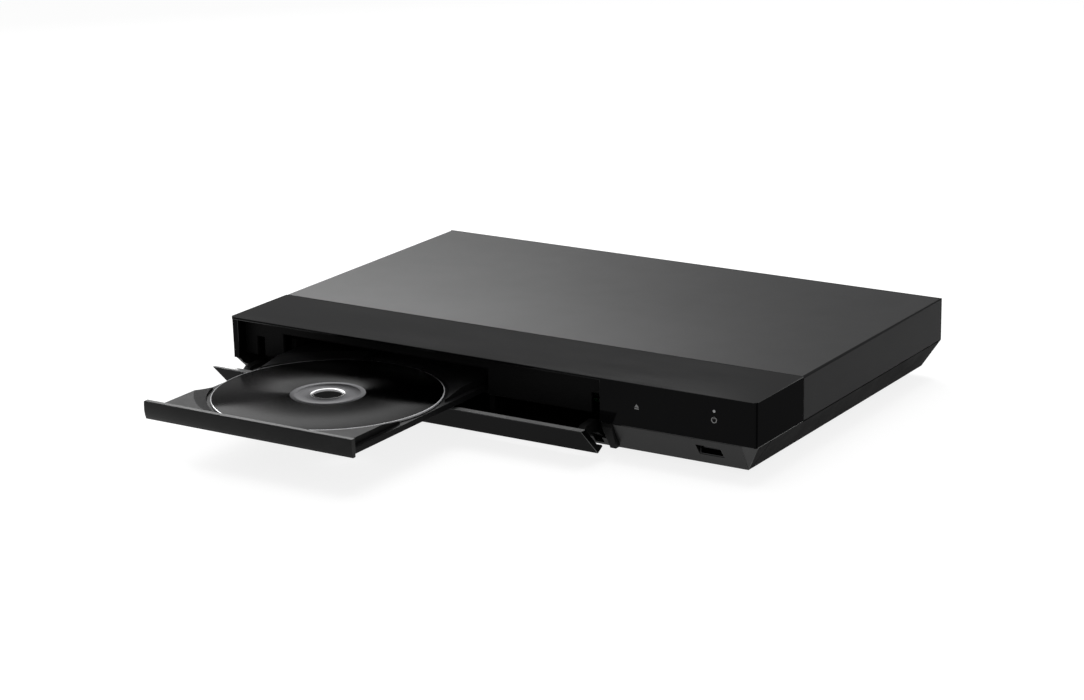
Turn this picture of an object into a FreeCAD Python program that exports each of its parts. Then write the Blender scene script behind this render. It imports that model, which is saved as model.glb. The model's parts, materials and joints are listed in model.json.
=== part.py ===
import FreeCAD, Part
import math
import os
import Sketcher

os.makedirs("parts", exist_ok=True)
doc = FreeCAD.newDocument("DiscPlayer")

# Driving dimensions in millimetres. X runs to the right, Y to the back and Z up from the table.
# Lengths in Y are measured from the face of the front panel, and X from the middle of the housing.
SIZES = {
    "width": 320.0,
    "depth": 215.0,
    "tall": 45.0,
    "base_level": 5.0,
    "band_level": 21.6,
    "side_inset": 11.3,
    "front_inset": 13.3,
    "gloss_depth": 50.0,
    "rear_reach": 217.0,
    "moulding": 2.2,
    "steel": 1.0,
    "seam": 0.25,
    "flap_right": 71.5,
    "flap_low": 20.5,
    "flap_high": 43.3,
    "flap_glass": 1.3,
    "flap_thick": 3.2,
    "flap_angle": 45.5,
    "pivot_back": 17.5,
    "pivot_level": 11.2,
    "pin_radius": 1.5,
    "running_fit": 0.1,
    "panel_back": 8.0,
    "panel_low": 23.0,
    "slot_high": 33.5,
    "gate_high": 36.8,
    "gate_half": 65.5,
    "drive_centre": -65.5,
    "tray_reach": 109.3,
    "tray_travel": 113.5,
    "tray_half": 61.5,
    "tray_rear": 44.0,
    "tray_floor": 24.6,
    "tray_deck": 26.1,
    "tray_skirt": 23.0,
    "corner_half": 58.7,
    "corner_level": 29.8,
    "recess_radius": 62.0,
    "recess_step": 27.4,
    "recess_rim": 68.3,
    "bar_left": -131.2,
    "bar_right": -2.5,
    "bar_low": 22.1,
    "bar_high": 31.8,
    "bar_thick": 3.4,
    "disc_back": -42.0,
    "disc_level": 26.12,
    "disc_radius": 60.0,
    "disc_hole": 7.5,
    "disc_thick": 1.2,
    "window_half": 17.0,
    "window_rear": 22.0,
    "leg_right": 78.8,
    "leg_foot": 75.5,
    "frame_half": 65.0,
    "frame_front": 14.5,
    "frame_rear": 165.0,
    "frame_floor": 9.0,
    "frame_high": 33.0,
    "ledge_level": 22.95,
    "swing_back": 158.0,
    "swing_level": 17.0,
    "swing_angle": 3.9,
    "hub_radius": 7.25,
    "table_radius": 15.0,
    "table_level": 26.0,
    "rack_offset": 44.0,
    "rack_module": 1.5,
    "rack_wheel_teeth": 16.0,
    "gear_back": 25.0,
    "step_module": 0.75,
    "step_wheel_teeth": 40.0,
    "pinion_teeth": 14.0,
    "pulley_radius": 13.0,
    "motor_pulley_radius": 3.0,
    "motor_offset": -28.0,
    "cam_back": 44.0,
    "cam_travel": 22.0,
    "board_level": 9.0,
    "board_thick": 1.6,
    "usb_centre": 131.0,
    "usb_level": 14.2,
    "eye_x": 136.6,
    "eye_level": 37.3,
}


class Dim:
    """A length that carries both its value and the sheet expression that gives it."""

    def __init__(self, value, text):
        self.value = float(value)
        self.text = text

    def join(self, other, sign, value):
        return Dim(value, "(%s %s %s)" % (self.text, sign, other.text))

    def __add__(self, other):
        other = dim(other)
        return self.join(other, "+", self.value + other.value)

    def __sub__(self, other):
        other = dim(other)
        return self.join(other, "-", self.value - other.value)

    def __mul__(self, other):
        other = dim(other)
        return self.join(other, "*", self.value * other.value)

    def __truediv__(self, other):
        other = dim(other)
        return self.join(other, "/", self.value / other.value)

    def __radd__(self, other):
        return dim(other) + self

    def __rsub__(self, other):
        return dim(other) - self

    def __rmul__(self, other):
        return dim(other) * self

    def __neg__(self):
        return Dim(-self.value, "(0 - %s)" % self.text)


def dim(number):
    if isinstance(number, Dim):
        return number
    return Dim(number, "(%r)" % float(number))


def make_sheet():
    sheet = doc.addObject("Spreadsheet::Sheet", "Sizes")
    for row, (alias, number) in enumerate(SIZES.items(), start=1):
        sheet.set("A%d" % row, alias)
        sheet.set("B%d" % row, str(number))
        sheet.setAlias("B%d" % row, alias)
    doc.recompute()
    return sheet


SHEET = make_sheet()


def size(alias):
    return Dim(SHEET.get(alias), "Sizes." + alias)


def bind(owner, path, length):
    if "Sizes." in length.text:
        owner.setExpression(path, length.text)


SPOTS = {}


def place(owner, spot, turn=None):
    spot = [dim(v) for v in spot]
    SPOTS[owner.Name] = spot
    base = FreeCAD.Vector(*[v.value for v in spot])
    owner.Placement = FreeCAD.Placement(base, turn or FreeCAD.Rotation())
    for axis, length in zip("xyz", spot):
        bind(owner, "Placement.Base." + axis, length)


def box(name, x, y, z):
    """A block between two values on each axis."""
    owner = doc.addObject("Part::Box", name)
    for prop, (low, high) in zip(("Length", "Width", "Height"), (x, y, z)):
        length = dim(high) - dim(low)
        setattr(owner, prop, length.value)
        bind(owner, prop, length)
    place(owner, (x[0], y[0], z[0]))
    return owner


TURNS = {
    "x": FreeCAD.Rotation(FreeCAD.Vector(0, 1, 0), 90),
    "y": FreeCAD.Rotation(FreeCAD.Vector(1, 0, 0), -90),
    "z": FreeCAD.Rotation(),
}


def rod(name, axis, centre, radius, span):
    """A cylinder along one axis, with its centre given on the other two."""
    owner = doc.addObject("Part::Cylinder", name)
    radius = dim(radius)
    length = dim(span[1]) - dim(span[0])
    owner.Radius = radius.value
    owner.Height = length.value
    bind(owner, "Radius", radius)
    bind(owner, "Height", length)
    spots = {
        "x": (span[0], centre[0], centre[1]),
        "y": (centre[0], span[0], centre[1]),
        "z": (centre[0], centre[1], span[0]),
    }
    place(owner, spots[axis], TURNS[axis])
    return owner


def peg(name, axis, centre, radius, span, sides=12):
    """A small post or hole with flat sides, where nothing turns on it."""
    owner = doc.addObject("Part::Prism", name)
    length = dim(span[1]) - dim(span[0])
    owner.Polygon = sides
    owner.Circumradius = dim(radius).value
    owner.Height = length.value
    bind(owner, "Height", length)
    spots = {
        "x": (span[0], centre[0], centre[1]),
        "y": (centre[0], span[0], centre[1]),
        "z": (centre[0], centre[1], span[0]),
    }
    place(owner, spots[axis], TURNS[axis])
    return owner


def stacked(name, spot, rings, sides):
    """A round piece with flat sides, from rings given by their radius, underside and top."""
    return fuse(name, [peg("%s_ring_%d" % (name, i), "z", spot, radius, (low, high), sides)
                       for i, (radius, low, high) in enumerate(rings)])


def fuse(name, pieces):
    if len(pieces) == 1:
        return pieces[0]
    owner = doc.addObject("Part::MultiFuse", name)
    owner.Shapes = pieces
    owner.Refine = True
    return owner


def cut(name, base, tools):
    owner = doc.addObject("Part::Cut", name)
    owner.Base = base
    owner.Tool = fuse(name + "_tools", tools)
    owner.Refine = True
    return owner


def common(name, base, tool):
    owner = doc.addObject("Part::Common", name)
    owner.Base = base
    owner.Tool = tool
    return owner


def group(name, pieces):
    """Identical fasteners and feet share one node as separate solids."""
    owner = doc.addObject("Part::Compound", name)
    owner.Links = pieces
    return owner


PLANES = {"XY": "XY_Plane", "XZ": "XZ_Plane", "YZ": "YZ_Plane"}


def make_body(name):
    return doc.addObject("PartDesign::Body", name)


def sketch(body, name, plane, offset):
    owner = body.newObject("Sketcher::SketchObject", name)
    support = [f for f in body.Origin.OriginFeatures if f.Role == PLANES[plane]][0]
    owner.AttachmentSupport = [(support, "")]
    owner.MapMode = "FlatFace"
    offset = dim(offset)
    if plane == "XZ":
        offset = -offset
    owner.AttachmentOffset = FreeCAD.Placement(FreeCAD.Vector(0, 0, offset.value), FreeCAD.Rotation())
    bind(owner, "AttachmentOffset.Base.z", offset)
    return owner


def draw_outline(owner, corners, held=True):
    """A closed outline of straight edges, each corner held to the sheet."""
    first = len(owner.Geometry)
    corners = [(dim(u), dim(v)) for u, v in corners]
    count = len(corners)
    for i in range(count):
        a = corners[i]
        b = corners[(i + 1) % count]
        start = FreeCAD.Vector(a[0].value, a[1].value, 0)
        end = FreeCAD.Vector(b[0].value, b[1].value, 0)
        owner.addGeometry(Part.LineSegment(start, end), False)
    if not held:
        return
    for i in range(count):
        follower = first + (i + 1) % count
        owner.addConstraint(Sketcher.Constraint("Coincident", first + i, 2, follower, 1))
    for i in range(count):
        for kind, axis, length in (("DistanceX", -2, corners[i][0]), ("DistanceY", -1, corners[i][1])):
            if abs(length.value) < 1e-9:
                owner.addConstraint(Sketcher.Constraint("PointOnObject", first + i, 1, axis))
                continue
            held_by = owner.addConstraint(Sketcher.Constraint(kind, -1, 1, first + i, 1, length.value))
            bind(owner, "Constraints[%d]" % held_by, length)


def draw_circle(owner, centre, radius):
    u, v = dim(centre[0]), dim(centre[1])
    radius = dim(radius)
    middle = FreeCAD.Vector(u.value, v.value, 0)
    ring = owner.addGeometry(Part.Circle(middle, FreeCAD.Vector(0, 0, 1), radius.value), False)
    held_by = owner.addConstraint(Sketcher.Constraint("Radius", ring, radius.value))
    bind(owner, "Constraints[%d]" % held_by, radius)
    for kind, axis, length in (("DistanceX", -2, u), ("DistanceY", -1, v)):
        if abs(length.value) < 1e-9:
            owner.addConstraint(Sketcher.Constraint("PointOnObject", ring, 3, axis))
            continue
        held_by = owner.addConstraint(Sketcher.Constraint(kind, -1, 1, ring, 3, length.value))
        bind(owner, "Constraints[%d]" % held_by, length)


def extrude(body, kind, profile, plane, length):
    """A pad or a pocket that grows towards +X, +Y or +Z from the plane of its sketch."""
    feature = body.newObject("PartDesign::" + kind, profile.Name + "_" + kind.lower())
    feature.Profile = profile
    length = dim(length)
    feature.Length = length.value
    bind(feature, "Length", length)
    towards_plus = plane != "XZ"
    feature.Reversed = (not towards_plus) if kind == "Pad" else towards_plus
    return feature


def pad(body, name, plane, offset, corners, length, held=True):
    profile = sketch(body, name, plane, offset)
    draw_outline(profile, corners, held)
    return extrude(body, "Pad", profile, plane, length)


def pocket(body, name, plane, offset, corners, length, held=True):
    profile = sketch(body, name, plane, offset)
    draw_outline(profile, corners, held)
    return extrude(body, "Pocket", profile, plane, length)


def bore(body, name, plane, offset, centre, radius, length):
    profile = sketch(body, name, plane, offset)
    draw_circle(profile, centre, radius)
    return extrude(body, "Pocket", profile, plane, length)


def revolve(body, name, corners):
    """A turned piece: the outline is drawn as radius and height, and turned about Z."""
    profile = sketch(body, name, "XZ", 0)
    draw_outline(profile, corners)
    feature = body.newObject("PartDesign::Revolution", name + "_turned")
    feature.Profile = profile
    feature.ReferenceAxis = (profile, ["V_Axis"])
    feature.Angle = 360
    return feature


def round_edges(body, name, feature, test, radius):
    """A fillet on every straight edge whose middle passes the test."""
    doc.recompute()
    names = []
    for i, edge in enumerate(feature.Shape.Edges, start=1):
        if test(edge):
            names.append("Edge%d" % i)
    fillet = body.newObject("PartDesign::Fillet", name)
    fillet.Base = (feature, names)
    fillet.Radius = dim(radius).value
    bind(fillet, "Radius", dim(radius))
    return fillet


def rectangle(x, y):
    return [(x[0], y[0]), (x[1], y[0]), (x[1], y[1]), (x[0], y[1])]


# Values worked out from the driving dimensions.
half = size("width") / 2
depth = size("depth")
top = size("tall")
base = size("base_level")
band = size("band_level")
gloss = size("gloss_depth")
steel = size("steel")
moulding = size("moulding")
centre = size("drive_centre")
panel = size("panel_back")
panel_rear = panel + 2
pin = size("pin_radius")
fit = size("running_fit")
floor_top = base + 1.2
board = size("board_level")
board_top = board + size("board_thick")
ceiling = top - 1.8
left_wall = 3.5 - half
flap_right = size("flap_right")
bottom_half = half - size("side_inset")
# The rest pose spans from the tray's bar to the rear jack, and its middle is the origin.
shift = (size("tray_reach") - size("rear_reach")) / 2

NODES = {}


def keep(node, owner, turn=None):
    """Gives a sub-part its label and its place in the common frame."""
    owner.Label = node
    if turn is None:
        x, y, z = SPOTS.get(owner.Name, (0, 0, 0))
        place(owner, (x, y + shift, z), owner.Placement.Rotation)
    else:
        owner.Placement = FreeCAD.Placement(FreeCAD.Vector(0, shift.value, 0), FreeCAD.Rotation()).multiply(turn)
    NODES[node] = owner


def turned_about_x(back, level, degrees):
    pivot = FreeCAD.Vector(0, dim(back).value, dim(level).value)
    turn = FreeCAD.Rotation(FreeCAD.Vector(1, 0, 0), dim(degrees).value)
    return FreeCAD.Placement(pivot - turn.multVec(pivot), turn)


# Housing


def front_fascia():
    body = make_body("fascia_shell")
    block = pad(body, "fascia_plan", "XY", band, rectangle((-half, half), (0, gloss)), top - band)
    limit = half.value - 0.01
    block = round_edges(
        body,
        "fascia_corners",
        block,
        lambda e: abs(e.CenterOfMass.x) > limit and abs(e.CenterOfMass.y) < 0.01 and abs(e.tangentAt(0).z) > 0.9,
        1.5,
    )
    hollow = box("fascia_hollow", (left_wall, half - 2.5), (moulding, gloss + 1), (band - 1, ceiling))
    recess = box("flap_recess", (left_wall, flap_right), (-1, moulding + 1), (band - 1, top - 1.5))
    wall_step = box("flap_wall_step", (-half - 1, left_wall + 1), (-1, 1.5), (band - 1, top - 1.5))
    eye = peg("light_hole", "y", (size("eye_x"), size("eye_level")), 0.82, (-1, 5), 16)
    shell = cut("fascia_open", body, [hollow, recess, wall_step, eye])
    pieces = [shell, box("recess_end", (flap_right, flap_right + 2), (1, panel_rear), (band, ceiling))]
    for x in (84, 151):
        for z in (28, 39.5):
            pieces.append(peg("board_boss_%d_%d" % (x, z), "y", (x, z), 2.5, (moulding - 0.5, 4), 8))
    keep("front_fascia", fuse("fascia_whole", pieces))


def inner_panel():
    plate = box("panel_plate", (left_wall, flap_right), (panel, panel_rear), (size("panel_low"), ceiling))
    gate = box("tray_gate", (centre - size("gate_half"), centre + size("gate_half")), (panel - 1, panel_rear + 1),
               (size("panel_low") - 1, size("gate_high")))
    tools = [gate]
    for name, low in (("left", -148.6), ("right", 62.1)):
        tools.append(box("arm_slot_" + name, (low, low + 4.8), (panel - 1, panel_rear + 1),
                         (size("panel_low") - 1, size("slot_high"))))
    pieces = [cut("panel_cut", plate, tools)]
    leg = make_body("panel_leg")
    front = size("front_inset")
    lean = (split - front) * 0.15
    side = [(lean, band - 0.2), (lean + 0.2, band - 2.4), (front - 4.2, base + 0.4), (front - 0.9, base + 0.4),
            (front - 1.6, 6.5), (split - 0.1, 6.5), (split - 0.1, band - 0.2)]
    pad(leg, "leg_side", "YZ", flap_right + 0.6, side, size("leg_right") - flap_right - 0.7)
    edge = [(size("leg_right") + 1, band), (size("leg_right") - 0.1, band), (size("leg_foot") - 0.1, base), (size("leg_right") + 1, base)]
    pocket(leg, "leg_taper", "XZ", -2, edge, 20)
    pieces.append(leg)
    pieces.append(box("leg_bridge", (flap_right - 1, flap_right + 3.4), (panel + 2.6, split - 1), (10.2, 19)))
    level = size("pivot_level")
    back = size("pivot_back")
    for name, low in (("left", -143.8), ("right", 67.9)):
        ear = make_body("pin_ear_" + name)
        shape = [(panel + 1, 31), (panel + 1, 25), (back - 4, level - 3), (back - 2, level - 4.4), (back + 3, level - 4.4),
                 (back + 4.5, level), (back + 4, level + 4), (back - 3, 31)]
        pad(ear, "ear_%s_side" % name, "YZ", low, shape, 3.2)
        seat = peg("ear_%s_seat" % name, "x", (back, level), pin + 0.06, (low - 1, low + 5), 16)
        pieces.append(cut("ear_%s_bored" % name, ear, [seat]))
    keep("inner_panel", fuse("panel_whole", pieces))


def tub(name):
    """The lower half of the housing: its flanks lean in towards the base on the front and the sides."""
    body = make_body(name)
    slope_x = size("side_inset") / (band - base)
    slope_y = size("front_inset") / (band - base)
    rear = depth - 1.3
    facet = 7.5

    def ring(label, level, wall, round_off):
        rise = level - base
        x = bottom_half + slope_x * rise - wall
        y = size("front_inset") - slope_y * rise + wall * 1.3
        back = rear + (1 if dim(wall).value > 0 else 0)
        inner = facet * (rise.value / (band - base).value) + 0.6
        profile = sketch(body, label, "XY", level)
        corner = [(-x, back), (-x, y + inner / 3), (-x + inner, y), (x - inner, y), (x, y + inner / 3), (x, back)]
        draw_outline(profile, corner)
        return profile

    outer = body.newObject("PartDesign::AdditiveLoft", name + "_flanks")
    outer.Profile = ring(name + "_foot", base, 0, 0)
    outer.Sections = [ring(name + "_rim", band - 0.1, 0, 1)]
    outer.Ruled = True
    doc.recompute()
    inner = body.newObject("PartDesign::SubtractiveLoft", name + "_hollow")
    inner.Profile = ring(name + "_inside_foot", floor_top, 1.8, 0)
    inner.Sections = [ring(name + "_inside_rim", band + 1.4, 1.8, 1)]
    inner.Ruled = True
    return body


split = size("front_inset") + 2.7


def bottom_chassis():
    shell = cut("chassis_shell", tub("chassis_tub"), [box("chassis_front", (-half - 1, half + 1), (-2, split + 0.2), (0, 30))])
    pieces = [shell]
    for x, y in BOARD_POSTS:
        pieces.append(peg("board_post_%d_%d" % (x, y), "z", (x, y), 3, (floor_top - 0.5, board), 8))
    for offset, y in DRIVE_POSTS:
        pieces.append(peg("drive_post_%d_%d" % (offset, y), "z", (centre + offset, y), 4, (floor_top - 0.5, 13), 8))
    keep("bottom_chassis", fuse("chassis_whole", pieces))


BOARD_POSTS = [(22, 70), (142, 70), (22, 196), (142, 200), (-142, 176), (-16, 176), (-152 + 10, 190), (-16, 204)]
DRIVE_POSTS = [(-71, 60), (71, 60), (-71, 150), (71, 150)]


def lower_front_strip():
    front = common("strip_front", tub("strip_tub"), box("strip_zone", (-half - 1, half + 1), (-2, split), (0, 30)))
    usb_x = size("usb_centre")
    usb_z = size("usb_level")
    tools = [
        box("flap_gap", (-151, flap_right + 1), (-2, 20), (10, 30)),
        box("flap_end_gap", (-155.3, -150), (-2, 6), (18.8, 30)),
        box("flap_corner_gap", (-half - 1, -155.2), (-2, 1.5), (18.8, 30)),
        leg_gap(),
        box("usb_hole", (usb_x - 6.9, usb_x + 6.9), (-2, 20), (usb_z - 3.1, usb_z + 3.1)),
    ]
    for name, low in (("left", -148.8), ("right", 61.9)):
        tools.append(box("arm_gap_" + name, (low, low + 5.2), (-2, 20), (6.6, 30)))
    keep("lower_front_strip", cut("strip_whole", front, tools))


def leg_gap():
    """The opening beside the flap, with a slanted right end."""
    body = make_body("leg_gap")
    left = flap_right + 0.5
    level = (6.4 - base) / (band - base)
    right = size("leg_foot") + (size("leg_right") - size("leg_foot")) * level
    pad(body, "leg_gap_side", "XZ", -2, [(left, 6.4), (right, 6.4), (size("leg_right"), band), (size("leg_right"), 30), (left, 30)], 22)
    return body


def top_cover():
    body = make_body("cover_sheet")
    bend = 0.8
    inside = half - steel
    under = top - steel
    low = band + 0.3
    shape = [(-half, low), (-half, top - bend), (-half + bend, top), (half - bend, top), (half, top - bend), (half, low),
             (inside, low), (inside, under), (-inside, under), (-inside, low)]
    pad(body, "cover_bend", "XZ", gloss + size("seam"), shape, depth - 1.3 - gloss - size("seam"))
    keep("top_cover", body)


def rear_panel():
    body = make_body("rear_plate")
    front = depth - 1.2
    shape = [(-bottom_half, base), (bottom_half, base), (half, band), (half, top), (-half, top), (-half, band)]
    pad(body, "rear_outline", "XZ", front, shape, 1.2)
    holes = [
        (INLET_X - 11.2, INLET_X + 11.2, 10.4, 24.6),
        (HDMI_X[0] - 7.8, HDMI_X[0] + 7.8, 10.8, 17.4),
        (HDMI_X[1] - 7.8, HDMI_X[1] + 7.8, 10.8, 17.4),
        (LAN_X - 8.2, LAN_X + 8.2, 10.4, 24.4),
    ]
    tools = []
    for i, (x0, x1, z0, z1) in enumerate(holes):
        tools.append(box("rear_hole_%d" % i, (x0, x1), (front - 1, depth + 1), (z0, z1)))
    tools.append(peg("coax_hole", "y", (COAX_X, COAX_Z), 4.9, (front - 1, depth + 1), 24))
    for i in range(VENT_COUNT):
        x = VENT_START + i * VENT_PITCH
        tools.append(box("rear_vent_%d" % i, (x, x + 2.4), (front - 1, depth + 1), (28, 39)))
    for i, x in enumerate(REAR_SCREWS):
        tools.append(peg("rear_screw_hole_%d" % i, "y", (x, REAR_SCREW_Z), 1.7, (front - 1, depth + 1), 8))
    keep("rear_panel", cut("rear_whole", body, tools))


INLET_X = -132.0
HDMI_X = (36.0, 58.0)
LAN_X = 86.0
COAX_X = 110.0
COAX_Z = 17.0
VENT_COUNT = 12
VENT_START = -60.0
VENT_PITCH = 6.0
REAR_SCREWS = (-150.0, 0.0, 150.0)
REAR_SCREW_Z = 40.5


def cover_screws():
    screws = []
    for i, x in enumerate(REAR_SCREWS):
        head = peg("cover_screw_head_%d" % i, "y", (x, REAR_SCREW_Z), 3.0, (depth, depth + 1.6))
        shank = peg("cover_screw_shank_%d" % i, "y", (x, REAR_SCREW_Z), 1.5, (depth - 5, depth + 0.5), 8)
        screws.append(fuse("cover_screw_%d" % i, [head, shank]))
    keep("cover_screws", group("cover_screw_set", screws))


def feet():
    posts = []
    for x in (-118.0, 118.0):
        for y in (46.0, 186.0):
            posts.append(peg("foot_%d_%d" % (x, y), "z", (x, y), 9, (0, base), 24))
    keep("feet", group("feet_set", posts))


# Flap over the disc slot, drawn closed and turned open about its pins


def flap():
    body = make_body("flap_moulding")
    low = size("flap_low")
    high = size("flap_high")
    glass = size("flap_glass")
    thick = size("flap_thick")
    shape = [(0, low), (0, high), (0.3, high), (glass, high - 1.1), (glass + 0.2, high - 1.7), (thick, high - 3.1),
             (thick, low + 0.9), (5.3, low - 0.4), (5.0, low - 1.5)]
    pad(body, "flap_side", "YZ", 0.3 - half, shape, half - 0.6 + flap_right)
    pocket(body, "flap_left_step", "YZ", -half - 1, [(glass, low - 3), (thick + 4, low - 3), (thick + 4, high + 1), (glass, high + 1)], 5.0)
    keep("flap", body, FLAP_OPEN)


FLAP_OPEN = turned_about_x(size("pivot_back"), size("pivot_level"), size("flap_angle"))


def flap_arm(side, low):
    body = make_body("arm_" + side)
    back = size("pivot_back")
    level = size("pivot_level")
    inner = size("flap_thick")
    shape = [(inner, 34), (8.5, 33), (15.5, 27), (back + 3.6, level + 3), (back + 4, level), (back + 2.5, level - 3.2),
             (back - 2.5, level - 3.2), (back - 4, level), (11.5, 20), (8.5, 25), (inner, 27)]
    pad(body, "arm_%s_side" % side, "YZ", low, shape, 4)
    bore(body, "arm_%s_bore" % side, "YZ", low - 1, (back, level), pin + fit, 8)
    keep("flap_arm_" + side, body, FLAP_OPEN)


def flap_pins():
    pins = []
    for side, low, high in (("left", -148.6, -140.2), ("right", 62.1, 71.5)):
        pins.append(peg("flap_pin_" + side, "x", (size("pivot_back"), size("pivot_level")), pin, (low, high), 16))
    keep("flap_pins", group("flap_pin_set", pins))


# Disc tray


def rack_outline():
    """Teeth of a straight rack, cut into the inner side of a rib under the tray."""
    module = SIZES["rack_module"]
    pitch = math.pi * module
    face = SIZES["drive_centre"] + SIZES["rack_offset"]
    lean = math.tan(math.radians(20))
    tip = face - module
    root = face + 1.15 * module
    half_tip = pitch / 4 - module * lean - 0.08
    half_root = pitch / 4 + 1.15 * module * lean - 0.08
    gear = SIZES["gear_back"]
    first = math.ceil((-97 - gear) / pitch)
    last = math.floor((36 - gear) / pitch)
    points = []
    for k in range(first, last + 1):
        middle = gear + k * pitch
        points += [(root, middle - half_root), (tip, middle - half_tip), (tip, middle + half_tip), (root, middle + half_root)]
    back = root + 1.8
    return [(back, points[0][1])] + points + [(back, points[-1][1])]


def disc_tray():
    body = make_body("tray_moulding")
    rear = size("tray_rear")
    front = size("bar_thick") - size("tray_reach")
    floor = size("tray_floor")
    deck = size("tray_deck")
    wide = (centre - size("tray_half"), centre + size("tray_half"))
    pad(body, "tray_plan", "XY", floor, rectangle(wide, (front, rear)), deck - floor)
    for side, low in (("left", wide[0]), ("right", wide[1] - 2)):
        pad(body, "tray_skirt_" + side, "XY", size("tray_skirt"), rectangle((low, low + 2), (front, rear)), floor - size("tray_skirt"))
    raised = (centre - size("corner_half"), centre + size("corner_half"))
    pad(body, "tray_corners", "XY", deck, rectangle(raised, (front, rear)), size("corner_level") - deck)
    middle = (centre, size("disc_back"))
    bore(body, "disc_recess", "XY", deck, middle, size("recess_radius"), 10)
    window = size("window_half")
    bore(body, "spindle_window", "XY", floor - 1, middle, window, 4)
    pocket(body, "pickup_window", "XY", floor - 1, rectangle((centre - window, centre + window), (size("disc_back"), size("window_rear"))), 4)
    pocket(body, "clamp_channel", "XY", 27.2, rectangle((centre - 20, centre + 20), (5, rear + 1)), 8)
    hollow_rear = [("left", centre - 56, centre - 23), ("right", centre + 23, centre + 56)]
    for side, x0, x1 in hollow_rear:
        pocket(body, "corner_hollow_" + side, "XY", floor - 1, rectangle((x0, x1), (24, rear - 1.5)), size("corner_level") - 1.6 - floor + 1)
    pad(body, "tray_rack", "XY", 22.4, rack_outline(), floor + 0.4 - 22.4, held=False)
    # Above the step round the disc the four corners rise in one shallow cone.
    step = size("recess_step")
    level = size("corner_level")
    slope = (size("recess_rim") - size("recess_radius")) / (level - step)
    bowl = doc.addObject("Part::Cone", "tray_bowl")
    low_radius = size("recess_radius")
    high_radius = size("recess_rim") + slope * 0.4
    rise = level + 0.4 - step
    for prop, length in (("Radius1", low_radius), ("Radius2", high_radius), ("Height", rise)):
        setattr(bowl, prop, length.value)
        bind(bowl, prop, length)
    place(bowl, (centre, size("disc_back"), step))
    small = peg("small_disc_recess", "z", middle, 41, (deck - 0.7, deck + 1), 28)
    keep("disc_tray", cut("tray_whole", body, [bowl, small]))


def tray_front_bar():
    body = make_body("bar_moulding")
    reach = -size("tray_reach")
    rear = reach + size("bar_thick")
    low = size("bar_low")
    high = size("bar_high")
    shape = [(rear, low), (reach + 1.3, low), (reach + 0.5, low + 2.2), (reach + 0.05, low + 4.6), (reach, low + 6.5),
             (reach + 0.15, high - 0.5), (reach + 0.6, high), (rear, high)]
    pad(body, "bar_side", "YZ", size("bar_left"), shape, size("bar_right") - size("bar_left"))
    keep("tray_front_bar", body)


def disc():
    body = make_body("disc_blank")
    low = size("disc_level")
    high = low + size("disc_thick")
    hole = size("disc_hole")
    rim = size("disc_radius")
    revolve(body, "disc_section", [(hole, low), (rim, low), (rim, high), (hole, high)])
    body.Label = "disc"
    place(body, (centre, size("disc_back") + shift, 0))
    NODES["disc"] = body


# Disc drive: the loader frame and what it carries

spindle_y = size("disc_back") + size("tray_travel")


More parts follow.
